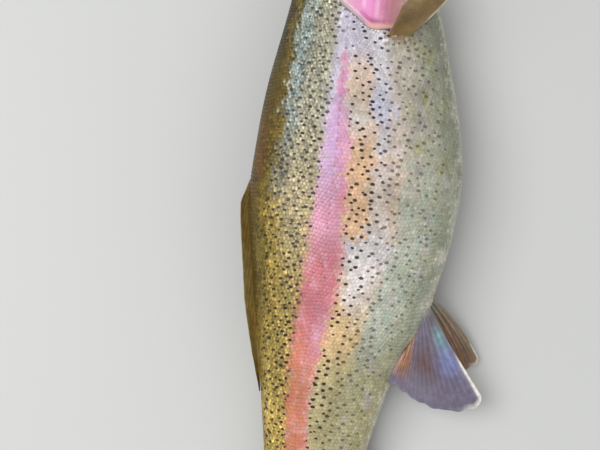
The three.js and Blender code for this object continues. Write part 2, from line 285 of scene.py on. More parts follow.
BACK_BROWN = rgb(88, 72, 18)
BACK_OLIVE = rgb(114, 98, 38)
BACK_REAR = rgb(146, 124, 56)
BACK_GOLD = rgb(146, 124, 62)
BACK_RUST = rgb(104, 62, 26)
FLANK_SILVER = rgb(148, 154, 146)
FLANK_TEAL = rgb(132, 152, 158)
FLANK_PALE = rgb(162, 160, 144)
FLANK_BEIGE = rgb(156, 146, 118)
FLANK_GOLD = rgb(164, 142, 74)
FLANK_AMBER = rgb(178, 154, 86)
# MIST: pale lavender near the lateral line, partly the skin's own iridescence and partly a painted
# reflection of the sky.
MIST = rgb(190, 186, 206)
STRIPE_MAGENTA = rgb(197, 140, 172)
STRIPE_LILAC = rgb(192, 158, 200)
STRIPE_ROSE = rgb(196, 136, 162)
STRIPE_RED = rgb(184, 110, 120)
STRIPE_DEEP = rgb(198, 104, 128)
STRIPE_MIST = rgb(214, 184, 208)
STRIPE_SALMON = rgb(196, 124, 98)
PEACH_PALE = rgb(196, 176, 164)
PEACH = rgb(202, 168, 138)
PEACH_ROSE = rgb(206, 148, 150)
# Pearl colours are partly the skin's own and partly a painted reflection of the sky.
PEARL = rgb(204, 202, 214)
PEARL_WHITE = rgb(212, 208, 212)
PEARL_BLUE = rgb(180, 184, 210)
PEARL_DIM = rgb(186, 176, 172)
LOWER_YELLOW = rgb(204, 176, 134)
LOWER_GREY = rgb(176, 172, 164)
LOWER_GREEN = rgb(168, 173, 166)
# LOWER_OLIVE is partly the flank's own colour and partly painted shade and the water's reflection.
LOWER_OLIVE = rgb(144, 149, 132)
LOWER_TEAL = rgb(150, 172, 166)
LOWER_REAR = rgb(166, 158, 122)
BLOTCH_YELLOW = rgb(158, 154, 92)
BLOTCH_MAUVE = rgb(162, 156, 164)
BELLY_WHITE = rgb(196, 194, 184)
ROOT_BROWN = rgb(116, 94, 50)
COVER_PINK = rgb(230, 150, 212)
COVER_MIST = rgb(216, 176, 198)
COVER_PAINTED_HIGHLIGHT = rgb(242, 202, 236)
COVER_DEEP = rgb(202, 86, 132)
COVER_LINE = rgb(140, 74, 96)
COVER_ROSE = rgb(200, 134, 144)
COVER_PEACH = rgb(210, 170, 154)
RIM_GREY = rgb(172, 160, 166)
HEAD_OLIVE = rgb(98, 84, 42)
CHEEK_SILVER = rgb(186, 180, 170)
CHEEK_GOLD = rgb(176, 164, 124)
CHEEK_LILAC = rgb(180, 170, 186)
JAW_GREY = rgb(166, 160, 144)
JAW_TAN = rgb(182, 158, 134)
THROAT = rgb(206, 200, 188)
# DARK_LINE is painted shade in the head's grooves, gaps and pits, and the dark marks of the lateral
# line's pores.
DARK_LINE = rgb(62, 40, 34)
GLINT = rgb(196, 204, 202)  # painted glint: white laid over some scales as their highlights

# Half width of the red stripe, from t.
stripe_half = straight(
    [140, 152, 162, 186, 213, 247, 282, 315, 332, 350, 368, 385, 430, 520, 592],
    [2, 3.6, 4.4, 5.4, 9.4, 9.8, 12.4, 13.8, 12.4, 11.8, 9.8, 8.2, 7.6, 6, 4])
# Where a pale band under the lateral line begins and ends, as shares of the way down to
# the belly, and where the silver of the upper flank and the brown of the back begin, as
# shares of the way up.
# The pale band is partly the skin's pearly colour and partly a painted reflection of the sky.
PEARL_T = [100, 150, 180, 225, 275, 291, 320, 345, 590]
pearl_start = straight(PEARL_T, [0.0, 0.25, 0.27, 0.28, 0.28, 0.17, 0.2, 0.35, 0.45])
pearl_end = straight(PEARL_T, [0.36, 0.36, 0.42, 0.44, 0.48, 0.46, 0.42, 0.45, 0.45])
silver_start = straight([100, 140, 200, 250, 590], [0.47, 0.5, 0.53, 0.58, 0.6])
brown_start = straight([100, 150, 180, 205, 240, 280, 320, 350, 390, 590],
                    [0.8, 0.77, 0.7, 0.68, 0.74, 0.77, 0.78, 0.84, 0.9, 0.9])


def across(t, h):
    """Share of the way from the lateral line to the back, and to the belly."""
    line = line_height(t)
    up = np.clip((h - line) / np.maximum(back(t) - line, 1), 0, 1)
    down = np.clip((line - h) / np.maximum(belly(t) + line, 1), 0, 1)
    return up, down


def stripe_place(t, h):
    """Distance from the middle of the stripe, 1 at its edge."""
    return (h - line_height(t)) / stripe_half(t)


# In the colours of the trunk, s is the share of LENGTH behind the snout.
def upper_colour(t, h, s, up):
    """Above the lateral line: mist, beige, silver or gold, and the brown back."""
    amber = smooth(0.6, 0.66, s) * 0.8
    beige = paint(
        FLANK_PALE, (FLANK_BEIGE, smooth(0.3, 0.42, s)),
        (FLANK_GOLD, smooth(0.36, 0.58, s) * 0.85), (FLANK_AMBER, amber))
    c = blend(MIST, FLANK_BEIGE, smooth(0.34, 0.4, s) * 0.8)
    c = blend(c, beige, smooth(0.08, 0.24, up))
    teal = smooth(-0.7, 0.3, mottle(t, h, 9, 4)) * smooth(0.18, 0.245, s)
    silver = paint(
        FLANK_SILVER, (FLANK_TEAL, teal * 0.8), (FLANK_BEIGE * 0.6, smooth(0.33, 0.4, s) * 0.8),
        (FLANK_GOLD * 0.92, smooth(0.41, 0.47, s)), (FLANK_AMBER * 1.1, amber))
    c = blend(c, silver, smooth(-0.08, 0.06, up - silver_start(t)))
    into_brown = up - brown_start(t)
    streak = mottle(t * 0.12, h, 5, 7)
    behind = smooth(0.54, 0.66, s)
    golden = paint(BACK_OLIVE, (BACK_GOLD, smooth(0, 1, streak) * 0.7), (BACK_REAR, behind))
    c = blend(c, golden, smooth(-0.1, 0.05, into_brown + 0.02 * streak))
    rust = bump(up, 0.9, 0.05) * bump(s, 0.39, 0.05) * 0.7
    top = paint(BACK_BROWN, (BACK_RUST, rust), (BACK_REAR * 1.3, behind * 0.85))
    top = lit(top, 1 + 0.16 * streak - 0.5 * smooth(0.3, 0.24, s))
    c = blend(c, top, smooth(0.04, 0.14, into_brown + 0.03 * streak))
    return lit(c, 1 - 0.24 * smooth(0.62, 0.78, up) * smooth(0.36, 0.3, s))


def lower_colour(t, h, s, down):
    """Below the line: peach, pearl with painted reflection and sheen, grey-green with painted shade low
    down, and a whitish belly.
    """
    warm = within(s, 0.245, 0.29, 0.472, 0.492)
    peach = blend(PEACH_PALE, PEACH, smooth(0.3, 0.4, s))
    past_pearl = down - pearl_end(t)
    pearly = smooth(-0.05, 0.04, down - pearl_start(t)) * smooth(0.1, -0.08, past_pearl)
    # The pearly band: partly the skin's own colour, partly a painted reflection of the sky.
    pearl = paint(
        PEARL, (PEARL_BLUE, bump(s, 0.325, 0.03)), (PEARL_DIM, bump(s, 0.43, 0.05)),
        (PEARL_WHITE, bump(s, 0.525, 0.04)))
    grey = blend(LOWER_GREY, LOWER_GREEN, smooth(0.36, 0.5, s))
    grey = lit(grey, 1 + 0.22 * bump(s, 0.53, 0.06))
    # Blotches low on the flank.
    under = within(down, 0.5, 0.64, 0.8, 0.92)
    yellow = smooth(0.3, 1.0, mottle(t * 0.6, h, 17, 1)) * bump(s, 0.32, 0.12)
    mauve = smooth(0.4, 1.1, mottle(t * 0.7, h, 14, 8))
    cool = smooth(0.3, 1.1, mottle(t * 0.7, h, 12, 9)) * smooth(0.36, 0.42, s)
    c = paint(
        MIST,
        (peach, np.maximum(warm, smooth(0.47, 0.54, s))),
        (LOWER_YELLOW, smooth(0.5, 0.58, s)),
        (LOWER_REAR, smooth(0.6, 0.66, s) * 0.85),
        # Painted sheen: a whitish patch just under the line.
        (PEARL_WHITE, 0.8 * bump(s, 0.341, 0.018) * bump(down, 0.15, 0.08)),
        (pearl, pearly * smooth(0.6, 0.53, s) * 0.9),
        (grey, smooth(-0.04, 0.1, past_pearl)),
        (LOWER_GREEN, smooth(0.55, 0.75, down) * 0.8),
        # Olive low on the flank: partly its own colour, partly painted shade and reflection of the
        # water.
        (LOWER_OLIVE, smooth(0.68, 0.86, down) * 0.8),
        (LOWER_REAR, smooth(0.57, 0.68, s) * smooth(0.16, 0.4, down) * 0.85),
        (BLOTCH_YELLOW, under * np.maximum(yellow * 0.6, 0.15)),
        (BLOTCH_MAUVE, under * mauve * 0.5),
        (LOWER_TEAL, under * cool * smooth(0.64, 0.58, s) * 0.5))
    # Painted shade: the lower flank is darkened in front.
    c = lit(c, 1 - 0.2 * smooth(0.38, 0.28, s) * smooth(0.52, 0.68, down))
    return blend(c, BELLY_WHITE, smooth(0.9, 0.99, down) * 0.85)


def striped(c, t, h, s):
    """c with the stripe over it, which grows wider and redder towards the tail."""
    away = stripe_place(t, h) + 0.12 * mottle(t, h, 12, 5)
    lilac = smooth(0.295, 0.33, s) * mix(0.3, 1.0, smooth(-0.3, 0.2, away))
    lower_edge = smooth(-0.5, -0.95, away)
    streak = mottle(t * 0.35, h, 8, 3)
    stripe = paint(
        STRIPE_MAGENTA,
        (MIST, smooth(0.25, 0.75, away) * smooth(0.345, 0.32, s)),
        (STRIPE_LILAC, lilac),
        (STRIPE_ROSE, smooth(0.39, 0.46, s)),
        (STRIPE_RED, smooth(0.465, 0.52, s)),
        (STRIPE_SALMON, smooth(0.555, 0.64, s)),
        (STRIPE_ROSE, 0.9 * bump(away, -0.45, 0.4) * bump(s, 0.595, 0.035)),
        (PEACH_ROSE, 0.7 * lower_edge * smooth(0.34, 0.38, s)),
        (STRIPE_DEEP, 0.45 * lower_edge * bump(s, 0.43, 0.02)),
        (STRIPE_MIST, 0.2 * smooth(0.1, 1.3, streak)),
        (STRIPE_DEEP, 0.22 * smooth(-0.3, -1.2, streak) * smooth(0.36, 0.46, s)))
    lower_end = mix(0.3, 0.7, smooth(0.32, 0.36, s))
    strength = smooth(1.35, 0.55, away) * smooth(lower_end + 0.55, lower_end, -away)
    strength = strength * smooth(0.25, 0.275, s) * (1 - 0.5 * smooth(0.75, 1.0, s))
    return blend(c, stripe, strength)


def flank_colour(t, h):
    """The trunk's colour without its spots."""
    up, down = across(t, h)
    up = up + 0.02 * mottle(t, h, 15, 6) * (up > 0)
    down = down + 0.03 * mottle(t, h, 14, 2) * (down > 0)
    s = t / LENGTH
    c = blend(upper_colour(t, h, s, up), lower_colour(t, h, s, down), smooth(0.0, 0.08, down))
    c = striped(c, t, h, s)
    from_root = to_segment(t, h, (138.5, -28), (138.5, -16))  # of the right pectoral fin
    return blend(c, ROOT_BROWN, smooth(5.5, 1.0, from_root) * 0.8)


def spot_plan(t, h):
    """How many of the possible spots there are at a place, and how dark they are."""
    up, down = across(t, h)
    stripe = smooth(1.05, 0.75, np.abs(stripe_place(t, h))) * smooth(0.25, 0.275, t / LENGTH)
    many = np.where(up > 0, 0.88, 0.9) * (1 - 0.92 * stripe)
    on_back = smooth(-0.02, 0.12, up - brown_start(t))
    many = many * (1 - 0.5 * on_back) * (1 - 0.25 * smooth(0.5, 0.6, down))
    many = many * smooth(0.88, 0.74, down)
    above = mix(0.68, 0.88, smooth(0.31, 0.37, t / LENGTH)) - 0.12 * smooth(0.4, 0.6, up)
    ink = np.where(up > 0, above, 0.97 - 0.27 * smooth(0.26, 0.46, down))
    ink = ink - 0.06 * smooth(0.5, 0.66, down) - 0.35 * on_back - 0.15 * bump(up, 0.04, 0.08)
    return many, ink * (1 - 0.4 * stripe)


SPOT_T = 5.3  # of two interleaved lattices of spots: their pitch along the body
SPOT_ABOVE, SPOT_BELOW = 8.2, 10.6  # and round it, above and below the lateral line


def markings(t, girth, side):
    """Where a place is on the flank unrolled, and on the lattice of spots."""
    over = np.maximum(girth, 0) / SPOT_ABOVE + np.minimum(girth, 0) / SPOT_BELOW
    top = girth_up(t)
    whole = np.where(side > 0, girth, 2 * top - girth)
    over = np.where(side > 0, over, 2 * top / SPOT_ABOVE - over)
    pitch = mix(SPOT_BELOW, SPOT_ABOVE, smooth(-2, 2, girth))
    return together(t, whole, 0), together(t / SPOT_T, over, pitch)


# ---------- Meshes ----------
def piece(name, material, slot, replaces, points, uv, facing=None, **values):
    """One mesh of quads from grids of points.

    points is (copies, rows, columns, 3); uv too, with one more column where the last column
    joins the first. facing gives, for each quad, a direction that its face must look to;
    without it, faces look away from the middle. values are what the points carry.
    """
    grid = points.shape[:3]
    copies, rows, columns = grid
    i, j = np.meshgrid(np.arange(rows - 1), np.arange(uv.shape[2] - 1), indexing="ij")
    next_j = (j + 1) % columns
    corners = [i * columns + j, (i + 1) * columns + j, (i + 1) * columns + next_j, i * columns + next_j]
    starts = np.arange(copies)[:, None, None] * rows * columns
    quads = (starts + np.stack(corners, -1).reshape(-1, 4)).reshape(-1, 4)
    maps = np.stack([uv[:, i, j], uv[:, i + 1, j], uv[:, i + 1, j + 1], uv[:, i, j + 1]], 3)
    maps = maps.reshape(-1, 4, 2)
    points = points.reshape(-1, 3) / 1000
    a, b, c, d = (points[quads[:, k]] for k in range(4))
    if facing is None:
        facing = (a + b + c + d) / 4 - points.mean(axis=0)
    if (np.cross(c - a, d - b) * facing).sum() < 0:
        quads, maps = quads[:, ::-1], maps[:, ::-1]
    mesh = bpy.data.meshes.new(name)
    mesh.from_pydata(points, [], quads)
    for key, value in values.items():
        if key == "tint":
            opaque = np.ones((*grid, 1))
            value = np.concatenate([np.broadcast_to(value, (*grid, 3)), opaque], -1)
            kind, field = "FLOAT_COLOR", "color"
        elif key in ("flank", "lattice"):
            value = np.broadcast_to(value, (*grid, 3))
            kind, field = "FLOAT_VECTOR", "vector"
        else:
            value = np.broadcast_to(np.asarray(value, float), grid)
            kind, field = "FLOAT", "value"
        mesh.attributes.new(key, kind, "POINT").data.foreach_set(field, value.ravel())
    layer = mesh.uv_layers.new(name="OFBake")
    layer.data.foreach_set("uv", maps.ravel())
    mesh.polygons.foreach_set("use_smooth", np.ones(len(quads), bool))
    mesh.materials.append(material)
    mesh.update()
    made = bpy.data.objects.new(name, mesh)
    scene.collection.objects.link(made)
    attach(made, "root")
    if replaces:
        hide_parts(*replaces)


def closed_piece(name, material, slot, replaces, points, uv, **values):
    """A piece of one grid whose last column joins its first."""
    values = {key: np.asarray(value)[None] for key, value in values.items()}
    piece(name, material, slot, replaces, points[None], uv[None], **values)


def map_grid(u, v):
    return np.stack(np.meshgrid(u, v, indexing="ij"), -1)


# ---------- Materials ----------
class Nodes:
    """Short calls for building one material."""

    def __init__(self, name):
        self.material = bpy.data.materials.new(name)
        self.material.use_nodes = True
        self.tree = self.material.node_tree
        self.shader = self.tree.nodes["Principled BSDF"]

    def new(self, kind, inputs=(), **settings):
        node = self.tree.nodes.new("ShaderNode" + kind)
        for key, value in settings.items():
            setattr(node, key, value)
        for key, value in dict(inputs).items():
            self.put(node.inputs[key], value)
        return node

    def put(self, socket, value):
        if isinstance(value, bpy.types.NodeSocket):
            self.tree.links.new(value, socket)
        else:
            socket.default_value = value

    def carried(self, name, output="Fac"):
        """What the mesh's points carry under a name."""
        return self.new("Attribute", attribute_name=name).outputs[output]

    def math(self, operation, a, b=0.0, c=0.0):
        return self.new("Math", {0: a, 1: b, 2: c}, operation=operation).outputs[0]

    def between(self, value, low, high, to_low=0.0, to_high=1.0):
        """value moved smoothly from the range low..high to to_low..to_high."""
        node = self.new("MapRange", {0: value, 1: low, 2: high, 3: to_low, 4: to_high})
        node.interpolation_type = "SMOOTHSTEP"
        return node.outputs[0]

    def mix(self, factor, a, b, kind="MIX"):
        node = self.new("Mix", data_type="RGBA", blend_type=kind)
        self.put(node.inputs[0], factor)
        for socket, value in ((node.inputs[6], a), (node.inputs[7], b)):
            self.put(socket, value if hasattr(value, "is_linked") else (*value, 1))
        return node.outputs[2]

    def toned(self, colour, factor, dark, light):
        """colour times a tone that goes from dark to light with factor."""
        return self.mix(1.0, colour, self.mix(factor, dark, light), "MULTIPLY")

    def noise(self, vector, scale, detail, rough):
        inputs = {"Scale": scale, "Detail": detail, "Roughness": rough, "Vector": vector}
        return self.new("TexNoise", inputs).outputs["Fac"]

    def relief(self, height, strength):
        node = self.new("Bump", {"Height": height, "Strength": strength, "Distance": 0.0004})
        self.set(Normal=node.outputs[0])

    def spots(self):
        """Dark spots on two interleaved lattices, from the values that markings gives."""
        lattice = self.carried("lattice", "Vector")
        pitch = self.new("SeparateXYZ", {0: lattice}).outputs[2]
        ragged = self.noise(self.carried("flank", "Vector"), 0.9, 2.0, 0.5)
        ragged = self.math("MULTIPLY_ADD", ragged, 0.7, -0.35)
        spot = 0.0
        for shift in ((0, 0, 0), (17.5, 31.5, 0)):
            at = self.new("VectorMath", {0: lattice, 1: shift}).outputs[0]
            inputs = {"Vector": at, "Scale": 1.0, "Randomness": 0.5}
            cells = self.new("TexVoronoi", voronoi_dimensions="2D", inputs=inputs)
            away = {0: at, 1: cells.outputs["Position"]}
            away = self.new("VectorMath", away, operation="SUBTRACT")
            away = self.new("SeparateXYZ", {0: away.outputs[0]})
            along = self.math("MULTIPLY", away.outputs[0], SPOT_T / 1.05)
            round_it = self.math("MULTIPLY", away.outputs[1], self.math("DIVIDE", pitch, 1.55))
            far = self.math("MULTIPLY", round_it, round_it)
            far = self.math("SQRT", self.math("MULTIPLY_ADD", along, along, far))
            far = self.math("ADD", far, ragged)
            apart = self.new("SeparateColor", {0: cells.outputs["Color"]})
            spare = self.math("SUBTRACT", self.carried("many"), apart.outputs[0])
            present = self.between(spare, 0.0, 0.05)
            size = self.math("MULTIPLY_ADD", apart.outputs[1], 0.42, 0.68)
            size = self.math("MULTIPLY", size, self.between(spare, -0.02, 0.12))
            edge = self.between(self.math("SUBTRACT", size, far), -0.2, 0.26)
            spot = self.math("MAXIMUM", spot, self.math("MULTIPLY", edge, present))
        return self.math("MULTIPLY", spot, self.between(self.carried("ink"), 0.0, 0.9))

    def set(self, **values):
        for key, value in values.items():
            self.put(self.shader.inputs[key.replace("_", " ")], value)


def wet_skin():
    n = Nodes("trout_skin")
    flank_map = n.carried("flank", "Vector")
    place_map = n.new("TexCoord").outputs["Object"]
    spot = n.spots()
    tint = n.carried("tint", "Color")
    # Painted light on the scales: each is lightened round a shine near its free edge and darkened
    # towards its borders.
    colour = n.toned(tint, n.carried("fleck"), (0.42, 0.4, 0.36), (1.55, 1.56, 1.52))
    cloud = n.between(n.noise(place_map, 45, 4, 0.6), 0.35, 0.65)
    colour = n.toned(colour, cloud, (0.86, 0.87, 0.84), (1.1, 1.08, 1.08))
    grain = n.noise(flank_map, 1.3, 3, 0.6)
    colour = n.toned(colour, n.between(grain, 0.3, 0.7), (0.86, 0.86, 0.85), (1.11, 1.11, 1.12))
    ink = n.carried("ink")
    faint = n.mix(1.0, tint, (0.22, 0.19, 0.17), "MULTIPLY")
    colour = n.mix(spot, colour, n.mix(ink, faint, rgb(30, 20, 18)))
    # Dark line: painted shade in the head's creases, gaps and pits, and pore marks along the lateral
    # line.
    colour = n.mix(n.carried("line"), colour, DARK_LINE)
    n.set(Base_Color=colour, Metallic=0.1, Coat_Weight=0.15, Coat_Roughness=0.12)
    n.set(Specular_IOR_Level=0.3, Roughness=n.between(grain, 0.2, 0.8, 0.34, 0.5))
    n.relief(n.noise(flank_map, 2.6, 3, 0.65), 0.045)
    return n.material


def wet_fin():
    n = Nodes("trout_fin")
    place_map = n.new("TexCoord").outputs["Object"]
    ray = n.carried("ray")
    colour = n.toned(n.carried("tint", "Color"), ray, (0.8, 0.79, 0.78), (1.16, 1.15, 1.12))
    cloud = n.noise(place_map, 220, 3, 0.6)
    colour = n.toned(colour, n.between(cloud, 0.3, 0.7), (0.8, 0.8, 0.8), (1.16, 1.16, 1.16))
    colour = n.mix(n.spots(), colour, rgb(38, 30, 24))
    n.set(Base_Color=colour, Coat_Weight=0.4, Coat_Roughness=0.12)
    n.set(Roughness=n.between(cloud, 0.2, 0.8, 0.3, 0.46))
    n.relief(cloud, 0.15)
    return n.material


def wet_eye():
    n = Nodes("trout_eye")
    plane = n.carried("flank", "Vector")
    height = n.new("SeparateXYZ", {0: plane}).outputs[1]
    radius = n.carried("ray")
    grain = n.noise(plane, 7.0, 4, 0.65)
    gold = n.mix(n.between(grain, 0.35, 0.65), rgb(150, 112, 44), rgb(222, 194, 120))
    shade = n.between(height, 0.05, 0.75)
    gold = n.mix(n.math("MULTIPLY", shade, 0.75), gold, rgb(58, 48, 28))
    gold = n.mix(n.between(radius, 0.78, 0.97), gold, rgb(54, 44, 30))
    bright = n.math("MULTIPLY", n.between(radius, 0.5, 0.53), n.between(radius, 0.6, 0.56))
    gold = n.mix(bright, gold, rgb(236, 208, 128))
    colour = n.mix(n.between(radius, 0.5, 0.47), gold, rgb(8, 8, 9))
    n.set(Base_Color=colour, Roughness=0.2, Coat_Weight=1.0, Coat_Roughness=0.02)
    return n.material


skin_material, fin_material, eye_material = wet_skin(), wet_fin(), wet_eye()


# ---------- Relief ----------
FIN_MOUNDS = (  # side, t and h of both ends of a fin's root, height and width of its mound
    (1, *PECTORAL_RIGHT, 2.2, 6.0),
    (-1, *PECTORAL_LEFT, 1.2, 5.0),
    (1, (318, -70), (340, -58), 1.6, 6.5),
    (-1, (311, -70), (333, -62), 1.4, 6.5),
)


def swell(t, angle, side):
    """Millimetres that skin and scales stand out over the plain body."""
    # Low waves of the flesh behind the head.
    relief = 0.2 * np.sin(t / 17 + 2.1 * np.sin(angle)) * np.sin(angle * 3 + t / 41)
    relief = relief * smooth(70, 150, t)
    h, _ = section(t, angle)
    for fin_side, start, end, high, wide in FIN_MOUNDS:
        mound = high * bump(to_segment(t, h, start, end), 0, wide)
        relief = relief + mound * (np.sign(side) == fin_side)
    return relief


def curve_through(points, closed):
    """Points of a smooth curve, six steps from each of points to the next."""
    p = np.array([points[-1], *points, *points[:2]] if closed else points, float)
    first, last = (6, 6 * len(p) - 12) if closed else (0, 6 * len(p) - 5)
    return np.stack([through(range(len(p)), p[:, i])(np.arange(first, last) / 6) for i in (0, 1)], -1)


def distance(t, h, points, closed=False):
    """Distance to a curve; inside a closed one it is positive and outside negative."""
    path = curve_through(points, closed)
    ends = np.roll(path, -1, axis=0) if closed else path[1:]
    nearest = np.full(np.shape(t), 1e9)
    inside = np.zeros(np.shape(t), bool)
    for (t0, h0), (t1, h1) in zip(path, ends):
        nearest = np.minimum(nearest, to_segment(t, h, (t0, h0), (t1, h1)))
        if closed and h0 != h1:
            crossed = (h > min(h0, h1)) & (h <= max(h0, h1))
            inside ^= crossed & (t < t0 + (h - h0) * (t1 - t0) / (h1 - h0))
    return np.where(inside, nearest, -nearest) if closed else nearest


# Lines of the head, as t and h.
MOUTH = [(-2, -1.0), (4, -2.6), (12, -4.9), (28, -10.6), (45, -18.4), (58, -24.2), (64, -28)]
UPPER_JAW = [(7, 2.5), (20, 1.5), (36, -3.5), (52, -8.5), (63, -14), (65, -20),
             (59, -22.5), (45, -17), (28, -9), (12, -3.5)]
SUPRA_JAW = [(40, -4.4), (52, -7.8), (61, -12.5), (62, -15.5), (52, -12), (43, -7.5)]
CHEEK_EDGE = [(84, 31), (90, 20), (93, 6), (93, -8), (89, -20), (80, -30), (66, -36)]
UNDER_EYE = [(26, 7), (33, 1.5), (43, -1.2), (53, 2), (60, 9), (62, 16)]
BROW = [(22, 21), (32, 24.5), (44, 26), (56, 24), (66, 18)]
CHEEK_INNER = [(72, 12), (76, -2), (73, -14), (66, -22)]
COVER_SUTURE = [(93, -13), (103, -19), (114, -24.5), (124, -27)]
LOWER_SUTURE = [(84, -28), (96, -35), (110, -39)]
CHEEK_RAYS = [[(mix(52, 55, f), mix(17, 2, f)), (mix(68, 84, 1 - abs(f - 0.4)), mix(22, -22, f))]
              for f in (0.25, 0.5, 0.75)]
GROOVES = [  # curve, depth, width and darkness of its painted shade
    (UNDER_EYE, 0.28, 1.2, 0.1),
    (BROW, 0.4, 1.6, 0.0),
    (CHEEK_INNER, 0.18, 1.3, 0.0),
    (COVER_SUTURE, 0.5, 0.7, 0.3),
    (LOWER_SUTURE, 0.4, 0.7, 0.2),
    *[(ray, 0.12, 1.1, 0.0) for ray in CHEEK_RAYS],
]
NOSTRILS = ((22.4, 15.0, 1.5), (26.8, 17.0, 1.3))  # t, h and radius
NOSE_FLAP_T, NOSE_FLAP_H = 24.6, 16.0
PORES = []  # of the canals along the jaw, cheek, under the eye and over it
for f in np.linspace(0, 1, 6):
    PORES += [
        (mix(14, 60, f), mix(-10.5, -30, f)),
        (mix(88, 90, f) - 5 * abs(f - 0.5), mix(-26, 22, f)),
        (mix(28, 62, f), mix(4, 3.5, f) - 6 * math.sin(math.pi * f)),
        (mix(16, 64, f), mix(20, 27, f))]


# How far parts of the head stand out over the skin or lie under it.
GAPE_DEPTH, LIP_RISE = 1.5, 0.45
UPPER_JAW_RISE, SUPRA_JAW_RISE = 0.95, 0.45
CHEEK_RISE, CHEEK_DEPTH = 0.7, 0.85  # of the crescent and the groove behind it
COVER_RISE, COVER_DOME, MEMBRANE_DEPTH = 1.35, 0.5, 0.35
THROAT_RAY_RISE, THROAT_RAY_PITCH = 0.32, 5.2
SOCKET_RIM, SOCKET_DEPTH = 0.75, 4.2
NOSTRIL_DEPTH, NOSE_FLAP_RISE, PORE_DEPTH = 1.6, 0.35, 0.4


def head_relief(t, h, angle):
    """Millimetres that the skin stands out and the share of dark line, which is painted shade in its
    grooves, gaps and pits.

    Also the distance in from the gill cover's edge, that in from the upper jaw bone's
    outline, and the share of the cover's membrane, for the head's colours.
    """
    relief = np.zeros_like(t)
    line = np.zeros_like(t)
    facing = np.abs(np.cos(angle))
    wide_side = smooth(0.1, 0.4, facing)

    def groove(gap, deep, width, dark=0.0, where=wide_side):
        nonlocal relief, line
        relief = relief - deep * bump(gap, 0, width) * where
        if dark:
            line = np.maximum(line, dark * bump(gap, 0, 0.62 * width) * where)

    # Mouth, with lips on both sides of the gape, which is painted dark as shade.
    gape = distance(t, h, MOUTH)
    groove(gape, GAPE_DEPTH, 0.85, 0.85, smooth(-0.02, 0.1, facing + (t < 12)))
    relief += LIP_RISE * bump(gape, 2.4, 1.5) * (t < 70)
    jaw = distance(t, h, UPPER_JAW, True)
    relief += UPPER_JAW_RISE * smooth(-0.5, 0.5, jaw) * wide_side - 0.25 * smooth(1.2, 3.2, jaw)
    # Painted shade along the upper jaw bone's outline.
    line = np.maximum(line, 0.4 * bump(jaw, -0.5, 0.5) * wide_side)
    supra_jaw = distance(t, h, SUPRA_JAW, True)
    relief += SUPRA_JAW_RISE * smooth(-0.4, 0.4, supra_jaw) * wide_side
    # Cheek: the ring of bones under the eye and the crescent in front of the gill cover, with painted
    # shade in some grooves.
    for curve, deep, width, dark in GROOVES:
        groove(distance(t, h, curve), deep, width, dark)
    crescent = distance(t, h, CHEEK_EDGE)
    edge_t, edge_h = np.array(CHEEK_EDGE[::-1]).T
    behind = smooth(-1.2, 1.2, t - np.interp(h, edge_h, edge_t))
    on_cheek = wide_side * within(h, -40, -34, 30, 36)
    relief += CHEEK_RISE * bump(crescent, 0, 2.6) * (1 - behind) * on_cheek
    groove(crescent, CHEEK_DEPTH, 0.8, 0.35, behind * on_cheek)
    # Gill cover: swells behind the crescent, ends in a free edge with painted shade under it.
    turned = np.degrees(upright(angle))
    level = smooth(-95, -80, turned) * smooth(0.62, 0.5, np.sin(angle))
    inward = cover_edge(angle) - t
    on_cover = (inward >= 0) * level
    relief += COVER_RISE * smooth(60, 8, inward) * on_cover
    relief += COVER_DOME * bump(inward, 18, 12) * level * wide_side
    membrane = smooth(3.7, 2.9, inward) * on_cover
    relief -= MEMBRANE_DEPTH * membrane
    line = np.maximum(line, 0.85 * bump(inward, -0.35, 0.6) * level)
    # Branchiostegal rays under the cover and the two branches of the lower jaw, with painted shade in
    # the groove along each branch.
    below = within(turned, -89, -80, -56, -44) * within(inward, 1, 5, 30, 46)
    relief += THROAT_RAY_RISE * np.cos(2 * math.pi * inward / THROAT_RAY_PITCH) * below
    branch = -88 + 42 * np.clip((t - 8) / 58, 0, 1) ** 0.8
    gap = np.radians(turned - branch) * np.maximum(belly(t), 6)
    groove(gap, 1.0, 1.3, 0.25, within(t, 8, 16, 64, 74))
    # Eye socket and the soft rim round it, with painted shade inside the socket.
    ring = np.hypot(t - EYE_T, h - EYE_H)
    relief += SOCKET_RIM * bump(ring, EYE_RADIUS + 0.6, 1.9) * wide_side
    relief -= SOCKET_DEPTH * smooth(EYE_RADIUS - 0.9, EYE_RADIUS - 2.8, ring) * wide_side
    line = np.maximum(line, 0.6 * bump(ring, EYE_RADIUS - 1.7, 0.8) * wide_side)
    # Nostrils, with a flap between the two holes of each; the holes are painted dark as shade.
    for nose_t, nose_h, radius in NOSTRILS:
        hole = np.hypot(t - nose_t, h - nose_h)
        groove(hole, NOSTRIL_DEPTH, radius)
        line = np.maximum(line, 0.95 * smooth(radius * 0.95, radius * 0.6, hole) * wide_side)
    flap = np.hypot(t - NOSE_FLAP_T, (h - NOSE_FLAP_H) * 0.6)
    relief += NOSE_FLAP_RISE * bump(flap, 0, 0.75) * wide_side
    # Pores of the canals, painted dark as shade in their pits.
    for pore_t, pore_h in PORES:
        groove(np.hypot(t - pore_t, h - pore_h), PORE_DEPTH, 0.55, 0.5)
    return relief, line, inward, jaw, membrane


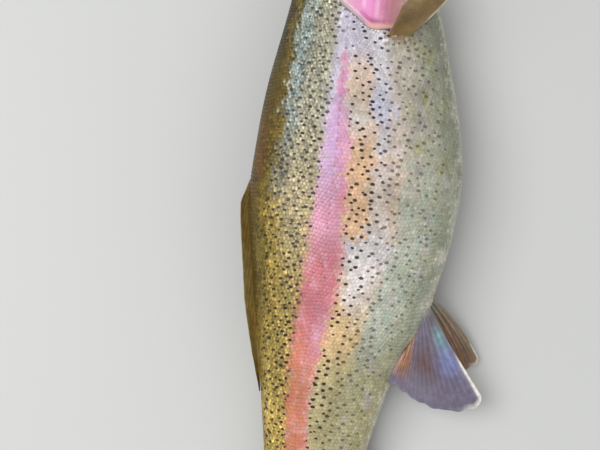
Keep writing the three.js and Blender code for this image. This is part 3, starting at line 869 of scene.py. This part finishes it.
def head_colour(t, h, angle, inward, jaw, membrane):
    wide_side = smooth(0.1, 0.4, np.abs(np.cos(angle)))
    up, down = h / back(t), h / belly(t)
    patch = mottle(t, h, 11, 5)
    streak = mottle(t * 0.3, h * 1.5, 8, 2)
    rear = smooth(-3, 6, t - 92)
    cheek = paint(
        CHEEK_SILVER, (CHEEK_GOLD, smooth(0.0, 1.0, patch) * 0.45),
        (CHEEK_LILAC, smooth(-0.1, -1.0, patch) * 0.5))
    crown = blend(HEAD_OLIVE, BACK_BROWN, smooth(50, 96, t) * smooth(0.5, 0.8, up))
    crown = lit(crown, 1 + 0.08 * mottle(t, h, 9, 3))
    return paint(
        cheek,
        (crown, smooth(0.26, 0.64, up + 0.03 * patch)),
        (FLANK_BEIGE, smooth(70, 96, t) * bump(up, 0.42, 0.14) * 0.7),
        (COVER_ROSE, smooth(52, 80, t) * bump(h + 2 * patch, 0, 19) * 0.6),
        (COVER_ROSE, rear * bump(h, -14, 11) * 0.95),
        (COVER_PINK, rear * bump(h + 1.5 * patch, 1, 12) * 0.95),
        (COVER_MIST, rear * smooth(8, 18, h) * 0.8),
        # Painted highlights: pale streaks on the gill cover.
        (COVER_PAINTED_HIGHLIGHT, rear * bump(h, 2, 15) * smooth(0.0, 1.1, streak) * 0.5),
        (COVER_DEEP, rear * bump(h, -4, 13) * smooth(0.0, -1.0, streak) * 0.35),
        (COVER_LINE, rear * bump(inward, 5.2, 1.9) * bump(h, -4, 9) * 0.75),
        (JAW_GREY, smooth(-0.25, -0.5, down) * smooth(70, 55, t)),
        (cheek, smooth(-0.4, -0.62, down) * smooth(60, 80, t) * 0.8),
        (THROAT, smooth(-0.6, -0.9, down)),
        (JAW_TAN, smooth(-0.4, 0.8, jaw) * wide_side * 0.5),
        (blend(RIM_GREY, COVER_PEACH, smooth(3, -3, h)), membrane * 0.85))


# ---------- Skin ----------
COLUMNS = 300
BETWEEN_SCALES = 0.8  # the skin's brightness there, as a share of the scales'
row_t = np.concatenate([
    [0.12, 0.2, 0.3],
    np.arange(0.55, 66, 0.74),
    np.arange(66, 114.6, 0.95),
    [114.86, 115.14, 115.6, 116.6],
    np.arange(118, 137, 1.6),
    np.linspace(139, 590.8, 76),
    [591.2],
])
inset = np.ones_like(row_t)  # the ends close to nearly a point
inset[:3] = 0.02, 0.45, 0.8
inset[-1] = 0.02


def skin():
    around = np.linspace(0, 2 * math.pi, COLUMNS, endpoint=False)
    rows, angle = np.meshgrid(row_t, around, indexing="ij")
    # The rows bend towards the gill covers' edge, and EDGE_ROW lies on it.
    bend = np.where(rows < EDGE_ROW, smooth(14, EDGE_ROW, rows), smooth(205, EDGE_ROW, rows))
    edge = cover_edge(angle)
    t = rows + bend * (edge - EDGE_ROW)
    h, b = section(t, angle)
    h, b = h * inset[:, None], b * inset[:, None]
    base = place(t, h, b)
    along = np.gradient(base, axis=0)
    round_it = np.roll(base, -1, axis=1) - np.roll(base, 1, axis=1)
    normal = outward(unit(np.cross(along, round_it)), base - place(t, h * 0, b * 0))
    relief, line, inward, jaw, membrane = head_relief(t, h, angle)
    forward = smooth(150, 132, t)
    relief = relief * forward * smooth(0.2, 3, t)
    relief += swell(t, upright(angle), np.cos(angle))
    points = base + normal * relief[..., None]
    points[..., 2] = np.maximum(points[..., 2], LOWEST)

    scaled = smooth(-1.5, 1.5, t - edge)
    trunk_tint = flank_colour(t, h) * BETWEEN_SCALES
    nape = smooth(80, 97, t) * smooth(0.5, 0.66, np.sin(angle))
    head_tint = head_colour(t, h, angle, inward, jaw, membrane)
    head_tint = blend(head_tint, trunk_tint * 1.15, nape)
    tint = blend(head_tint, trunk_tint, scaled * (1 - (rows < EDGE_ROW) * 0.999))
    many, ink = spot_plan(t, h)
    head_many = 0.66 * smooth(0.3, 0.6, h / back(t)) + 0.2 * (h > 3) * (t > 55) * (t < 93)
    many = np.where(scaled > 0.5, many, head_many)
    ink = np.where(scaled > 0.5, ink, 0.9)
    flank_map, lattice = markings(t, girth_at(t, upright(angle)), np.cos(angle))
    # The head takes the first part of the map, larger for its size than the trunk.
    u = np.interp(row_t, [0, 135, SKIN_END], [0.004, 0.6, 0.996])
    uv = map_grid(u, np.linspace(0.004, 0.996, COLUMNS + 1))
    nodes = [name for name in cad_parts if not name.startswith("eye") and "fin" not in name]
    closed_piece("skin", skin_material, "skin", nodes, points, uv, tint=tint, flank=flank_map,
                 lattice=lattice, many=many, ink=ink, line=line * forward, fleck=0.5)


skin()


# ---------- Scales ----------
PITCH_T = [90, 135, 200, 400, 500, SKIN_END]
row_step = straight(PITCH_T, [1.9, 2.2, 2.6, 2.6, 2.3, 1.8])  # between rows along the body
round_step = straight(PITCH_T, [1.8, 2.2, 2.6, 2.6, 2.3, 1.8])  # and the scales of a row
FIRST_ROW, LAST_ROW = 84.0, 591.6
COVER_GAP = 0.8  # from the gill cover's edge to the nearest scales' free edges
SCALE_LENGTH, SCALE_HALF_WIDTH = 2.05, 0.57  # in pitches of each way, as scales overlap
SCALES_LOWEST = 0.03  # height of the scales that lie on the floor
# Points along a scale, from its hidden root to its free edge and that edge's foot.
SCALE_ROWS = np.array([0.0, 0.5, 0.82, 1.0, 1.0])[:, None]
SCALE_COLUMNS = np.array([-1, -0.55, 0, 0.55, 1])
ROOT_LIFT, EDGE_LIFT, FOOT_LIFT = -0.12, 0.26, -0.05  # heights of the three over the skin
PATCH = 0.0034  # size of one scale on the OFBake map


def scale_roots():
    """t and girth of the middle of each scale's free edge, on one side of the fish."""
    roots = []
    t, row = FIRST_ROW, 0
    while t < SKIN_END:
        step_round = round_step(t)
        first = -math.ceil(girth_down(t) / step_round)
        last = math.ceil(girth_up(t) / step_round)
        g = (np.arange(first, last + 1) + 0.5 * (row % 2)) * step_round
        g = g[(g > -girth_down(t) - 0.2) & (g < girth_up(t) + 0.2)]
        roots.append(together(t, g))
        t += row_step(t)
        row += 1
    return np.concatenate(roots)


def wavy(t, girth):
    """How far the rows of scales stray along the body."""
    return (1.1 * np.sin(girth / 7.5 + t / 31) + 0.7 * np.sin(girth / 3.7 - t / 23 + 1.3)
            + 0.6 * np.sin(t / 9 + girth / 15))


def surface(t, girth, side):
    """Points of the skin and unit normals at t and girth on one side."""
    angle = angle_of(t, girth)
    h, b = section(t, angle)
    points = place(t, h, side * b)
    # Slopes by small steps along and round the body.
    h2, b2 = section(t + 0.5, angle)
    ahead = place(t + 0.5, h2, side * b2) - points
    h3, b3 = section(t, angle + 0.01)
    turned = place(t, h3, side * b3) - points
    normal = outward(unit(np.cross(ahead, turned)), together(-h, 0, side * b))
    return points + normal * swell(t, angle, side)[..., None], normal


def scale_looks(t, girth, x, y):
    """What the scales with roots at t and girth carry, at shares x and y of each."""
    count = len(t)
    pored = np.abs(girth) < 0.3 * round_step(t)
    middle = t - 1.2
    h, _ = section(middle, angle_of(middle, girth))
    stray_t, stray_h = rng.normal(0, 1.6, count), rng.normal(0, 1.1, count)
    tint = flank_colour(middle + stray_t, h + stray_h)
    up, down = across(middle, h)
    bright = within(up, 0.08, 0.35, 0.74, 0.9)
    on_stripe = smooth(1.1, 0.8, np.abs(stripe_place(middle, h)))
    calm = 1 - 0.55 * on_stripe * smooth(0.26, 0.3, middle / LENGTH)
    shade = np.exp(rng.normal(-0.04, 1, count) * mix(0.1, 0.25, bright) * calm)
    streak = np.sin(1.7 * girth + 0.5 * np.sin(middle / 35)) * np.sin(0.8 * girth + 1)
    tint = lit(tint, shade * (1 + 0.12 * streak * smooth(0.66, 0.8, up)))
    # Painted glints: up to three in ten scales in a band above the line, at the front, are half
    # whitened.
    silver = bump(up, 0.63, 0.1) * smooth(0.37, 0.31, middle / LENGTH)
    tint = blend(tint, GLINT, 0.5 * (rng.random(count) < 0.3 * silver))
    many, ink = spot_plan(middle, h)
    contrast = mix(0.35, 0.85, smooth(0.08, 0.35, up)) * mix(0.4, 1.0, bright)
    contrast = np.where(down > 0, 0.24, contrast) * rng.uniform(0.5, 1.3, count) * calm
    # Painted highlight and shade for each scale: a shine near the free edge, darker elsewhere.
    shine_at = rng.normal(0, 0.3, (count, 1, 1))
    shine = bump(x, 0.8, 0.26) * bump(y, shine_at, 0.5)
    return {
        "tint": tint[:, None, None],
        "many": many[:, None, None],
        "ink": ink[:, None, None],
        "line": 0.4 * bump(y, 0, 0.3) * smooth(0.45, 0.6, x) * pored[:, None, None],
        "fleck": 0.5 + (shine - 0.45) * contrast[:, None, None],
    }


def coat(name, side, low_share, high_share):
    """Scales whose roots lie between two shares of the girth from the lateral line."""
    roots = scale_roots()
    roots[:, 0] += wavy(roots[:, 0], roots[:, 1])
    roots = roots + rng.normal(0, 0.1, roots.shape)
    from_edge = roots[:, 0] - cover_edge(angle_of(roots[:, 0], roots[:, 1]))
    share = girth_share(roots[:, 0], roots[:, 1])
    clear = (from_edge > COVER_GAP) & (roots[:, 0] < LAST_ROW)
    clear &= (share >= low_share) & (share < high_share)
    roots, from_edge, share = roots[clear], from_edge[clear], share[clear]
    count = len(roots)
    t0, g0 = roots[:, 0, None, None], roots[:, 1, None, None]
    small = smooth(0, 26, from_edge)[:, None, None]
    long = SCALE_LENGTH * row_step(t0) * rng.uniform(0.92, 1.08, (count, 1, 1))
    wide = SCALE_HALF_WIDTH * round_step(t0) * rng.uniform(0.94, 1.08, (count, 1, 1))
    # x and y are shares of the scale's length and of half its width.
    x = SCALE_ROWS * (0.6 + 0.4 * np.sqrt(1 - 0.94 * SCALE_COLUMNS**2))
    y = SCALE_COLUMNS * (0.9 + 0.1 * SCALE_ROWS)
    turned = rng.normal(0, 0.05, (count, 1, 1))
    t = t0 + (x - 1) * long + turned * y * wide
    girth = g0 + y * wide - turned * (x - 1) * long
    points, normal = surface(t, girth, side)
    tilt = rng.normal(0, 0.045, (count, 1, 1))
    lift = mix(ROOT_LIFT, EDGE_LIFT, x) - 0.09 * y**2 * x + tilt * y * x
    lift = lift * mix(0.35, 1.0, np.sqrt(small))
    lift[:, -1] = FOOT_LIFT
    points = points + normal * lift[..., None]
    points[..., 2] = np.maximum(points[..., 2], SCALES_LOWEST)

    looks = scale_looks(roots[:, 0], roots[:, 1], x, y)
    flank_map, lattice = markings(t, girth, side)
    u = (t0 - FIRST_ROW) / (SKIN_END - FIRST_ROW) * 0.98 + 0.01 + (x - 0.5) * PATCH
    v = (share[:, None, None] - low_share) / (high_share - low_share) * 0.97 + 0.015
    uv = together(u, v + y * 0.5 * PATCH)
    piece(name, skin_material, "skin", (), points, uv, normal[:, :-1, :-1].reshape(-1, 3),
          flank=flank_map, lattice=lattice, **looks)


BANDS = (("back", 0.42, 1.01), ("flank", -0.34, 0.42), ("belly", -1.01, -0.34))
for word, side in SIDES:
    for band, low_share, high_share in BANDS:
        coat(f"scales_{word}_{band}", side, low_share, high_share)


# ---------- Fins ----------
OLIVE_DARK = rgb(86, 70, 34)
FIN_BROWN = rgb(112, 92, 64)
FIN_ORANGE = rgb(138, 88, 50)
FIN_LILAC = rgb(99, 93, 115)
FIN_MAROON = rgb(86, 58, 58)
FIN_TEAL_HIGHLIGHT = rgb(104, 148, 150)
FIN_BLUE_HIGHLIGHT = rgb(110, 122, 178)
FIN_WHITE = rgb(232, 228, 222)


# Each gives a fin's colour, how many spots it has and how dark they are: u is 0 at the
# leading ray and 1 at the last, r is 0 at the root and 1 at the tip.
def caudal_colour(u, r, ridge):
    root_tint = flank_colour(CAUDAL_T + 7 + 0 * u, CAUDAL_ROOT * (1 - 2 * u))
    c = paint(
        rgb(140, 124, 78),
        (rgb(144, 118, 88), smooth(0.2, 0.8, r)),
        (rgb(166, 148, 112), 0.5 * smooth(0.35, 0.9, ridge) * smooth(0.9, 0.6, r)),
        (OLIVE_DARK, 0.7 * smooth(0.84, 1.0, r)),
        (OLIVE_DARK, 0.5 * smooth(0.12, 0.0, np.minimum(u, 1 - u))),
        (root_tint, smooth(0.55, 0.14, r + 0.12 * (ridge - 0.5))))
    return c, 0.85, 0.85 * smooth(0.0, 0.15, r) * smooth(1.0, 0.9, r)


def dorsal_colour(u, r, ridge):
    patch = smooth(0.2, 0.9, mottle(60 * u, 12 * r, 11, 2))
    return paint(
        rgb(106, 82, 34),
        (rgb(126, 114, 68), smooth(0.3, 0.9, r)),
        (rgb(148, 122, 62), 0.4 * ridge),
        (rgb(112, 80, 36), 0.5 * patch),
        (rgb(154, 136, 78), 0.7 * smooth(0.66, 0.9, u))), 0, 0


def adipose_colour(u, r, ridge):
    edge = np.minimum(np.minimum(u, 1 - u) * 4, (1 - r) * 3)
    c = paint(
        BACK_OLIVE,
        (rgb(150, 120, 58), smooth(0.2, 0.9, r)),
        (rgb(44, 34, 26), 0.8 * smooth(0.35, 0.1, edge) * smooth(0.1, 0.4, r)))
    return c, 0.5, 0.8


def anal_colour(u, r, ridge):
    return paint(
        rgb(168, 148, 118),
        (rgb(176, 126, 94), smooth(0.1, 0.7, r)),
        (FIN_LILAC, 0.4 * bump(u, 0.5, 0.25)),
        (FIN_WHITE, smooth(0.06, 0.02, u) * smooth(0.35, 0.8, r))), 0, 0


def right_pelvic_colour(u, r, ridge):
    rim = np.maximum(smooth(0.035, 0.015, u), smooth(0.22, 0.04, u) * smooth(0.965, 0.99, r))
    return paint(
        FIN_LILAC,
        (FIN_MAROON, 0.95 * bump(u, 0.44, 0.22) * bump(r, 0.54, 0.2)),
        (FIN_ORANGE, smooth(0.58, 0.8, u) * smooth(0.98, 0.62, r)),
        # Painted highlights: teal and blue reflections near the leading rays.
        (FIN_TEAL_HIGHLIGHT, 0.85 * bump(u, 0.1, 0.09) * bump(r, 0.33, 0.13)),
        (FIN_BLUE_HIGHLIGHT, 0.75 * bump(u, 0.12, 0.13) * bump(r, 0.55, 0.13)),
        (FIN_MAROON, 0.5 * smooth(0.3, 0.18, r) * smooth(0.3, 0.1, u)),
        (LOWER_OLIVE, smooth(0.14, 0.02, r)),
        (FIN_WHITE, rim * smooth(0.5, 0.7, r))), 0, 0


def left_pelvic_colour(u, r, ridge):
    rim = np.maximum(smooth(0.03, 0.015, u), smooth(0.2, 0.04, u) * smooth(0.965, 0.99, r))
    return paint(
        FIN_BROWN,
        (FIN_ORANGE, 0.7 * bump(u, 0.25, 0.12) * smooth(0.2, 0.6, r)),
        (FIN_MAROON, 0.5 * bump(u, 0.12, 0.05)),
        (rgb(150, 132, 110), 0.5 * smooth(0.3, 0.9, ridge) * bump(r, 0.5, 0.3)),
        (FIN_LILAC, 0.8 * smooth(0.4, 0.7, u)),
        (LOWER_OLIVE, 0.8 * smooth(0.36, 0.04, r)),
        (FIN_WHITE, 0.7 * rim * smooth(0.75, 0.9, r))), 0, 0


def pectoral_colour(u, r, ridge):
    return paint(
        rgb(122, 98, 48),
        (rgb(112, 88, 40), smooth(0, 0.5, r)),
        # Painted shade and highlight of a fold across the fin: a dark band, and lighter beyond it.
        (rgb(88, 64, 28), 0.6 * bump(r, 0.42, 0.1) * smooth(0.1, 0.4, u)),
        (rgb(158, 130, 92), 0.6 * smooth(0.55, 0.8, r) * bump(u, 0.6, 0.35)),
        (rgb(200, 190, 166), smooth(0.06, 0.03, u) * smooth(0.25, 0.4, r)),
        (rgb(150, 112, 76), 0.4 * smooth(0.7, 1.0, u))), 0, 0


def fall(a, b, x):
    """From a at x = 0 to b at x = 1, level at both."""
    return mix(a, b, smooth(0, 1, x))


def ribs_of(cycles):
    return 0.5 + 0.5 * np.cos(2 * math.pi * cycles)


def both_sides(a):
    """A row's values on one side of a blade, and back along its other side."""
    return np.concatenate([a, a[:, ::-1]], axis=1)


def capped(a, first, last):
    return np.concatenate([first, a, last])


def blade(node, flat, face, bend, thick, ridge, looks, caps=False):
    """A closed fin round the flat points, moved by bend along face.

    caps closes the first and last rows at a point in their middle.
    """
    sides = [flat + face * (bend + which * thick / 2)[..., None] for which in (1, -1)]
    points = np.concatenate([sides[0], sides[1][:, ::-1]], axis=1)
    points = place(*np.moveaxis(points, -1, 0))
    tint, many, ink = looks
    values = {"tint": tint, "ray": ridge, "flank": flat * [1, 1, 0],
              "many": many + 0 * ridge, "ink": ink + 0 * ridge}
    values = {key: both_sides(value) for key, value in values.items()}
    if caps:
        ends = points[[0, -1]].mean(axis=1, keepdims=True) + 0 * points[[0, -1]]
        points = capped(points, ends[:1], ends[1:])
        values = {key: capped(value, value[:1], value[-1:]) for key, value in values.items()}
    values["lattice"] = values["flank"] / [SPOT_T, SPOT_ABOVE, 1] + [0, 0, SPOT_ABOVE]
    rows, columns = points.shape[:2]
    uv = map_grid(np.linspace(0.01, 0.99, rows), np.linspace(0.01, 0.99, columns + 1))
    closed_piece("fin_" + node.replace("_fin", ""), fin_material, "fin", [node], points, uv, **values)


FIN_DEPTH = 5.0  # of a fin's root inside the body


def fin(node, root, lead, last, reach, thick, rays, colour, cup=None, bow=0.0, out=20,
        waves=0.5, ribs=1.0):
    """A fan of rays from the leading to the last one, from the two ends of its root.

    reach gives the length of a ray from u, and thick holds the thickness at root and tip.
    cup bends the blade, bow bends its leading rays forward, waves is how wavy it is and ribs
    how strong its rays are. out is the number of steps along a ray.
    """
    u = np.linspace(0, 1, rays * 8 + 1)
    r = np.concatenate([[0.0], np.linspace(0, 1, out) ** 0.9, [1.004]])
    u, r = np.meshgrid(u, r)
    root, lead, last = np.array(root, float), unit(lead), unit(last)
    ray = unit(mix(lead, last, u[..., None]))
    chord = root[1] - root[0] + 0.6 * (last * reach(np.ones(1)) - lead * reach(np.zeros(1)))
    face = unit(np.cross(lead + last, chord))
    # The rays fork once at less than half of their length, and again.
    comb, split, finest = ribs_of(rays * u), ribs_of(2 * rays * u), ribs_of(4 * rays * u)
    ridge = mix(comb**1.5, split**1.5, smooth(0.45, 0.65, r))
    ridge = mix(ridge, 0.3 + 0.6 * finest, 0.8 * smooth(0.7, 1.0, r))
    ridge = mix(0.5, ridge, ribs)
    # Both corners are rounded, and the outer edge is a little ragged.
    corner = np.maximum(0, 1 - u / 0.09) ** 2 + np.maximum(0, 1 - (1 - u) / 0.09) ** 2
    length = reach(u) * (1 - 0.07 * corner)
    length = length + ribs * (0.6 * (comb - 0.5) + 0.5 * np.sin(37 * u) - 0.3)
    along = r * (length + FIN_DEPTH) - FIN_DEPTH
    flat = mix(root[0], root[1], u[..., None]) + ray * along[..., None]
    flat = flat - unit(chord) * (bow * (1 - u) * np.sin(math.pi * r))[..., None]
    bend = cup(u, r) if cup else 0 * u
    bend = bend + waves * np.sin(9 * u + 2.2 * r) * r**1.5
    rim = np.minimum(1, np.minimum(8 * u, 8 * (1 - u)) + 0.35)
    thin = mix(thick[0], thick[1], np.clip(r, 0, 1) ** 0.55) * rim * (0.62 + 0.3 * ridge)
    thin[[0, -1]] = 0.0
    blade(node, flat, face, bend, thin, ridge, colour(u, r, ridge))


def caudal_reach(u):
    """Lengths of the tail fin's rays, for a shallow fork with rounded lobes."""
    edge = np.abs(2 * u - 1)
    return 74 + 23 * edge**1.7 - 110 * np.maximum(0, edge - 0.8) ** 1.5


def upper_fins():
    root = [[CAUDAL_T, CAUDAL_ROOT, 0], [CAUDAL_T, -CAUDAL_ROOT, 0]]
    fin("caudal_fin", root, [0.935, 0.355, 0], [0.935, -0.355, 0], caudal_reach, (6, 1.0), 19,
        caudal_colour, cup=lambda u, r: -0.9 * r, out=26)
    ends = (ADIPOSE_T, ADIPOSE_T + 15)
    fin("adipose_fin", [[t, back(t), 0] for t in ends], [0.75, 0.66, 0], [0.95, 0.3, 0],
        lambda u: fall(19, 9, u) + 3 * np.sin(math.pi * u) - 1,
        (3.2, 1.7), 4, adipose_colour, out=14, waves=0.15, ribs=0.2)


def pelvic_root(ends, side):
    """Both ends of a pelvic fin's root, just above the belly's edge."""
    low = [-0.965 * belly(t) for t in ends]
    return [[t, h, side * flank(t, h)] for t, h in zip(ends, low)]


def lower_fins():
    ends = (ANAL_T, ANAL_T + 48)
    fin("anal_fin", [[t, -belly(t), 0] for t in ends], [0.74, -0.67, -0.08], [0.93, -0.36, -0.08],
        lambda u: fall(56, 27, u**0.8) - 0.5, (3.6, 0.85), 11, anal_colour)
    fin("pelvic_fin_right", pelvic_root(PELVIC_RIGHT, 1), [0.784, -0.603, -0.15],
        [0.91, 0.4, 0.12], lambda u: fall(84, 38, u**0.9) - 0.5, (3.2, 0.85), 10,
        right_pelvic_colour, bow=-1.0, waves=0.9)
    fin("pelvic_fin_left", pelvic_root(PELVIC_LEFT, -1), [0.69, -0.7, -0.19],
        [0.97, -0.12, -0.14], lambda u: fall(66, 36, u**0.9) - 0.5, (3.2, 0.85), 10,
        left_pelvic_colour, bow=3.0, waves=0.4)


def pectoral_fins():
    root = [[t, h, flank(t, h) - 1] for t, h in PECTORAL_RIGHT]
    fin("pectoral_fin_right", root, [-0.58, -0.55, 0.62], [-0.44, -0.2, 0.86],
        lambda u: fall(68, 36, u) + 5 * np.sin(math.pi * u) - 0.5, (3.2, 0.85), 13,
        pectoral_colour, lambda u, r: 3.5 * r * np.sin(math.pi * u) + 3 * r * r, bow=2.0)
    root = [[t, h, b] for (t, h), b in zip(PECTORAL_LEFT, (-26.2, -20.5))]
    fin("pectoral_fin_left", root, [0.93, -0.325, -0.045], [0.72, -0.69, -0.05],
        lambda u: fall(72, 38, u) - 0.5, (1.8, 0.85), 13, pectoral_colour, waves=0.3)


DORSAL_START, DORSAL_END, DORSAL_TIP = 244, 334, 392  # the fin's root ends before its tip
# Height of the folded fin over the back.
dorsal_rise = straight([244, 252, 261, 294, 328, 345, 363, 380, 392],
                       [0.4, 2.6, 5.4, 5.7, 6.5, 5.7, 4.3, 2.2, 0.7])


def dorsal_fin():
    """The folded fin: a low ribbed strip that leans to the right along the back."""
    x, r = np.meshgrid(np.linspace(0, 1, 120), np.linspace(0, 1, 14), indexing="ij")
    t = fall(DORSAL_START, DORSAL_TIP, x * 0.5 + x * x * 0.5)
    along = (t - DORSAL_START) / (DORSAL_TIP - DORSAL_START)
    behind = (t - DORSAL_END) / (DORSAL_TIP - DORSAL_END)
    under = np.where(t < DORSAL_END, -4, mix(-2.4, 0.2, behind))
    ridge = ribs_of(9 * r + 11 * along)
    h = back(t) + mix(under, dorsal_rise(t) - 0.3, r) + 0.2 * ridge * smooth(0.7, 1, r)
    lean = 6.5 * r * r * np.minimum(1, along / 0.1)
    thin = mix(3.0, 1.0, r) * (0.8 + 0.2 * ridge)
    thin = thin * np.minimum(1, np.minimum(12 * x, 12 * (1 - x)) + 0.15)
    face = np.array([0, 0, 1])
    looks = dorsal_colour(x, r, ridge)
    blade("dorsal_fin", together(t, h, 0), face, lean, thin, ridge, looks, caps=True)


upper_fins()
lower_fins()
pectoral_fins()
dorsal_fin()


# ---------- Eyes ----------
def eye(word, side):
    around = np.linspace(0, 2 * math.pi, 48, endpoint=False)
    turn = np.linspace(0, 1, 34)[:, None] ** 0.8 * math.pi
    out, aside = np.cos(turn), EYE_RADIUS * np.sin(turn)
    # x runs to the tail and y to the back before the eye is leaned with the cheek.
    x, y = aside * np.cos(around), aside * np.sin(around)
    lens = 0.55 * bump(aside, 0, 3.2) * (out > 0)
    z = EYE_DEPTH * out + lens
    # The pupil has a point towards the snout.
    radius = np.hypot(x * np.where(x < 0, 0.88, 1.0), y) / (EYE_RADIUS * 0.84)
    radius = np.where(out < 0, 1.0, radius)
    middle = place(EYE_T, EYE_H, side * (flank(EYE_T, EYE_H) + EYE_BULGE - EYE_DEPTH))
    leaned = np.array(Matrix.Rotation(side * EYE_LEAN, 3, "Y"))
    points = together(-y, -x, side * z) @ leaned.T + middle
    plane = together(x, y, 0) / EYE_RADIUS
    ring = np.linspace(0, 2 * math.pi, 49)
    uv = 0.5 + 0.49 * turn[..., None] / math.pi * together(np.cos(ring), np.sin(ring))
    closed_piece("eyeball_" + word, eye_material, "eye", ["eye_" + word], points, uv,
                 flank=plane, ray=radius)


for word, side in SIDES:
    eye(word, side)

# ---------- Floor, lights and camera ----------
FLOOR_HALF = 3  # metres
LIGHTS = (  # name, place and size in metres, power and colour; all look at the fish
    ("key", (-0.75, 0.15, 1.35), (0.9, 1.2), 19, (1, 1, 1)),
    ("fill", (1.2, -0.2, 0.9), (0.9, 1.4), 4, (0.95, 0.98, 1)),
    ("rear", (0.1, -1.4, 0.9), (1.4, 0.6), 5, (1, 1, 1)),
)
PICTURE_WIDTH = 600  # pixels
PIXEL = 0.70  # millimetres a pixel at the fish's middle plane
HEIGHT = 750.0  # from the camera to that plane
MIDDLE_PLANE = 39.0  # its height over the floor
ROLL = math.radians(6.5)
VIEW_T, VIEW_H = 271.7, 29.35  # the place on the fish that is straight under the camera


def add_floor():
    corners = [(x * FLOOR_HALF, y * FLOOR_HALF, 0) for x, y in ((-1, -1), (1, -1), (1, 1), (-1, 1))]
    mesh = bpy.data.meshes.new("floor")
    mesh.from_pydata(corners, [], [(0, 1, 2, 3)])
    paper = Nodes("floor_paper")
    paper.set(Base_Color=(0.52, 0.53, 0.53, 1), Roughness=0.8)
    mesh.materials.append(paper.material)
    floor = bpy.data.objects.new("floor", mesh)
    scene.collection.objects.link(floor)


def add_lights():
    world = bpy.data.worlds.new("studio")
    world.use_nodes = True
    background = world.node_tree.nodes["Background"].inputs
    background["Color"].default_value = (1.0, 0.98, 0.94, 1)
    background["Strength"].default_value = 0.5
    scene.world = world
    scene.view_settings.view_transform = "Standard"
    for name, at, size, power, colour in LIGHTS:
        data = bpy.data.lights.new(name, "AREA")
        data.shape = "RECTANGLE"
        data.size, data.size_y = size
        data.energy = power
        data.color = colour
        lamp = bpy.data.objects.new(name, data)
        lamp.location = at
        lamp.rotation_euler = (-Vector(at)).to_track_quat("-Z", "Y").to_euler()
        scene.collection.objects.link(lamp)


def add_camera():
    """The camera looks straight down at the flank."""
    data = bpy.data.cameras.new("camera")
    data.sensor_width = 36
    data.lens = data.sensor_width * HEIGHT / (PICTURE_WIDTH * PIXEL)
    data.clip_start = 0.01
    camera = bpy.data.objects.new("camera", data)
    x, y, _ = place(VIEW_T, VIEW_H, 0) / 1000
    camera.location = (x, y, (HEIGHT + MIDDLE_PLANE) / 1000)
    camera.rotation_euler = (0, 0, ROLL)
    scene.collection.objects.link(camera)
    scene.camera = camera


add_floor()
add_lights()
add_camera()
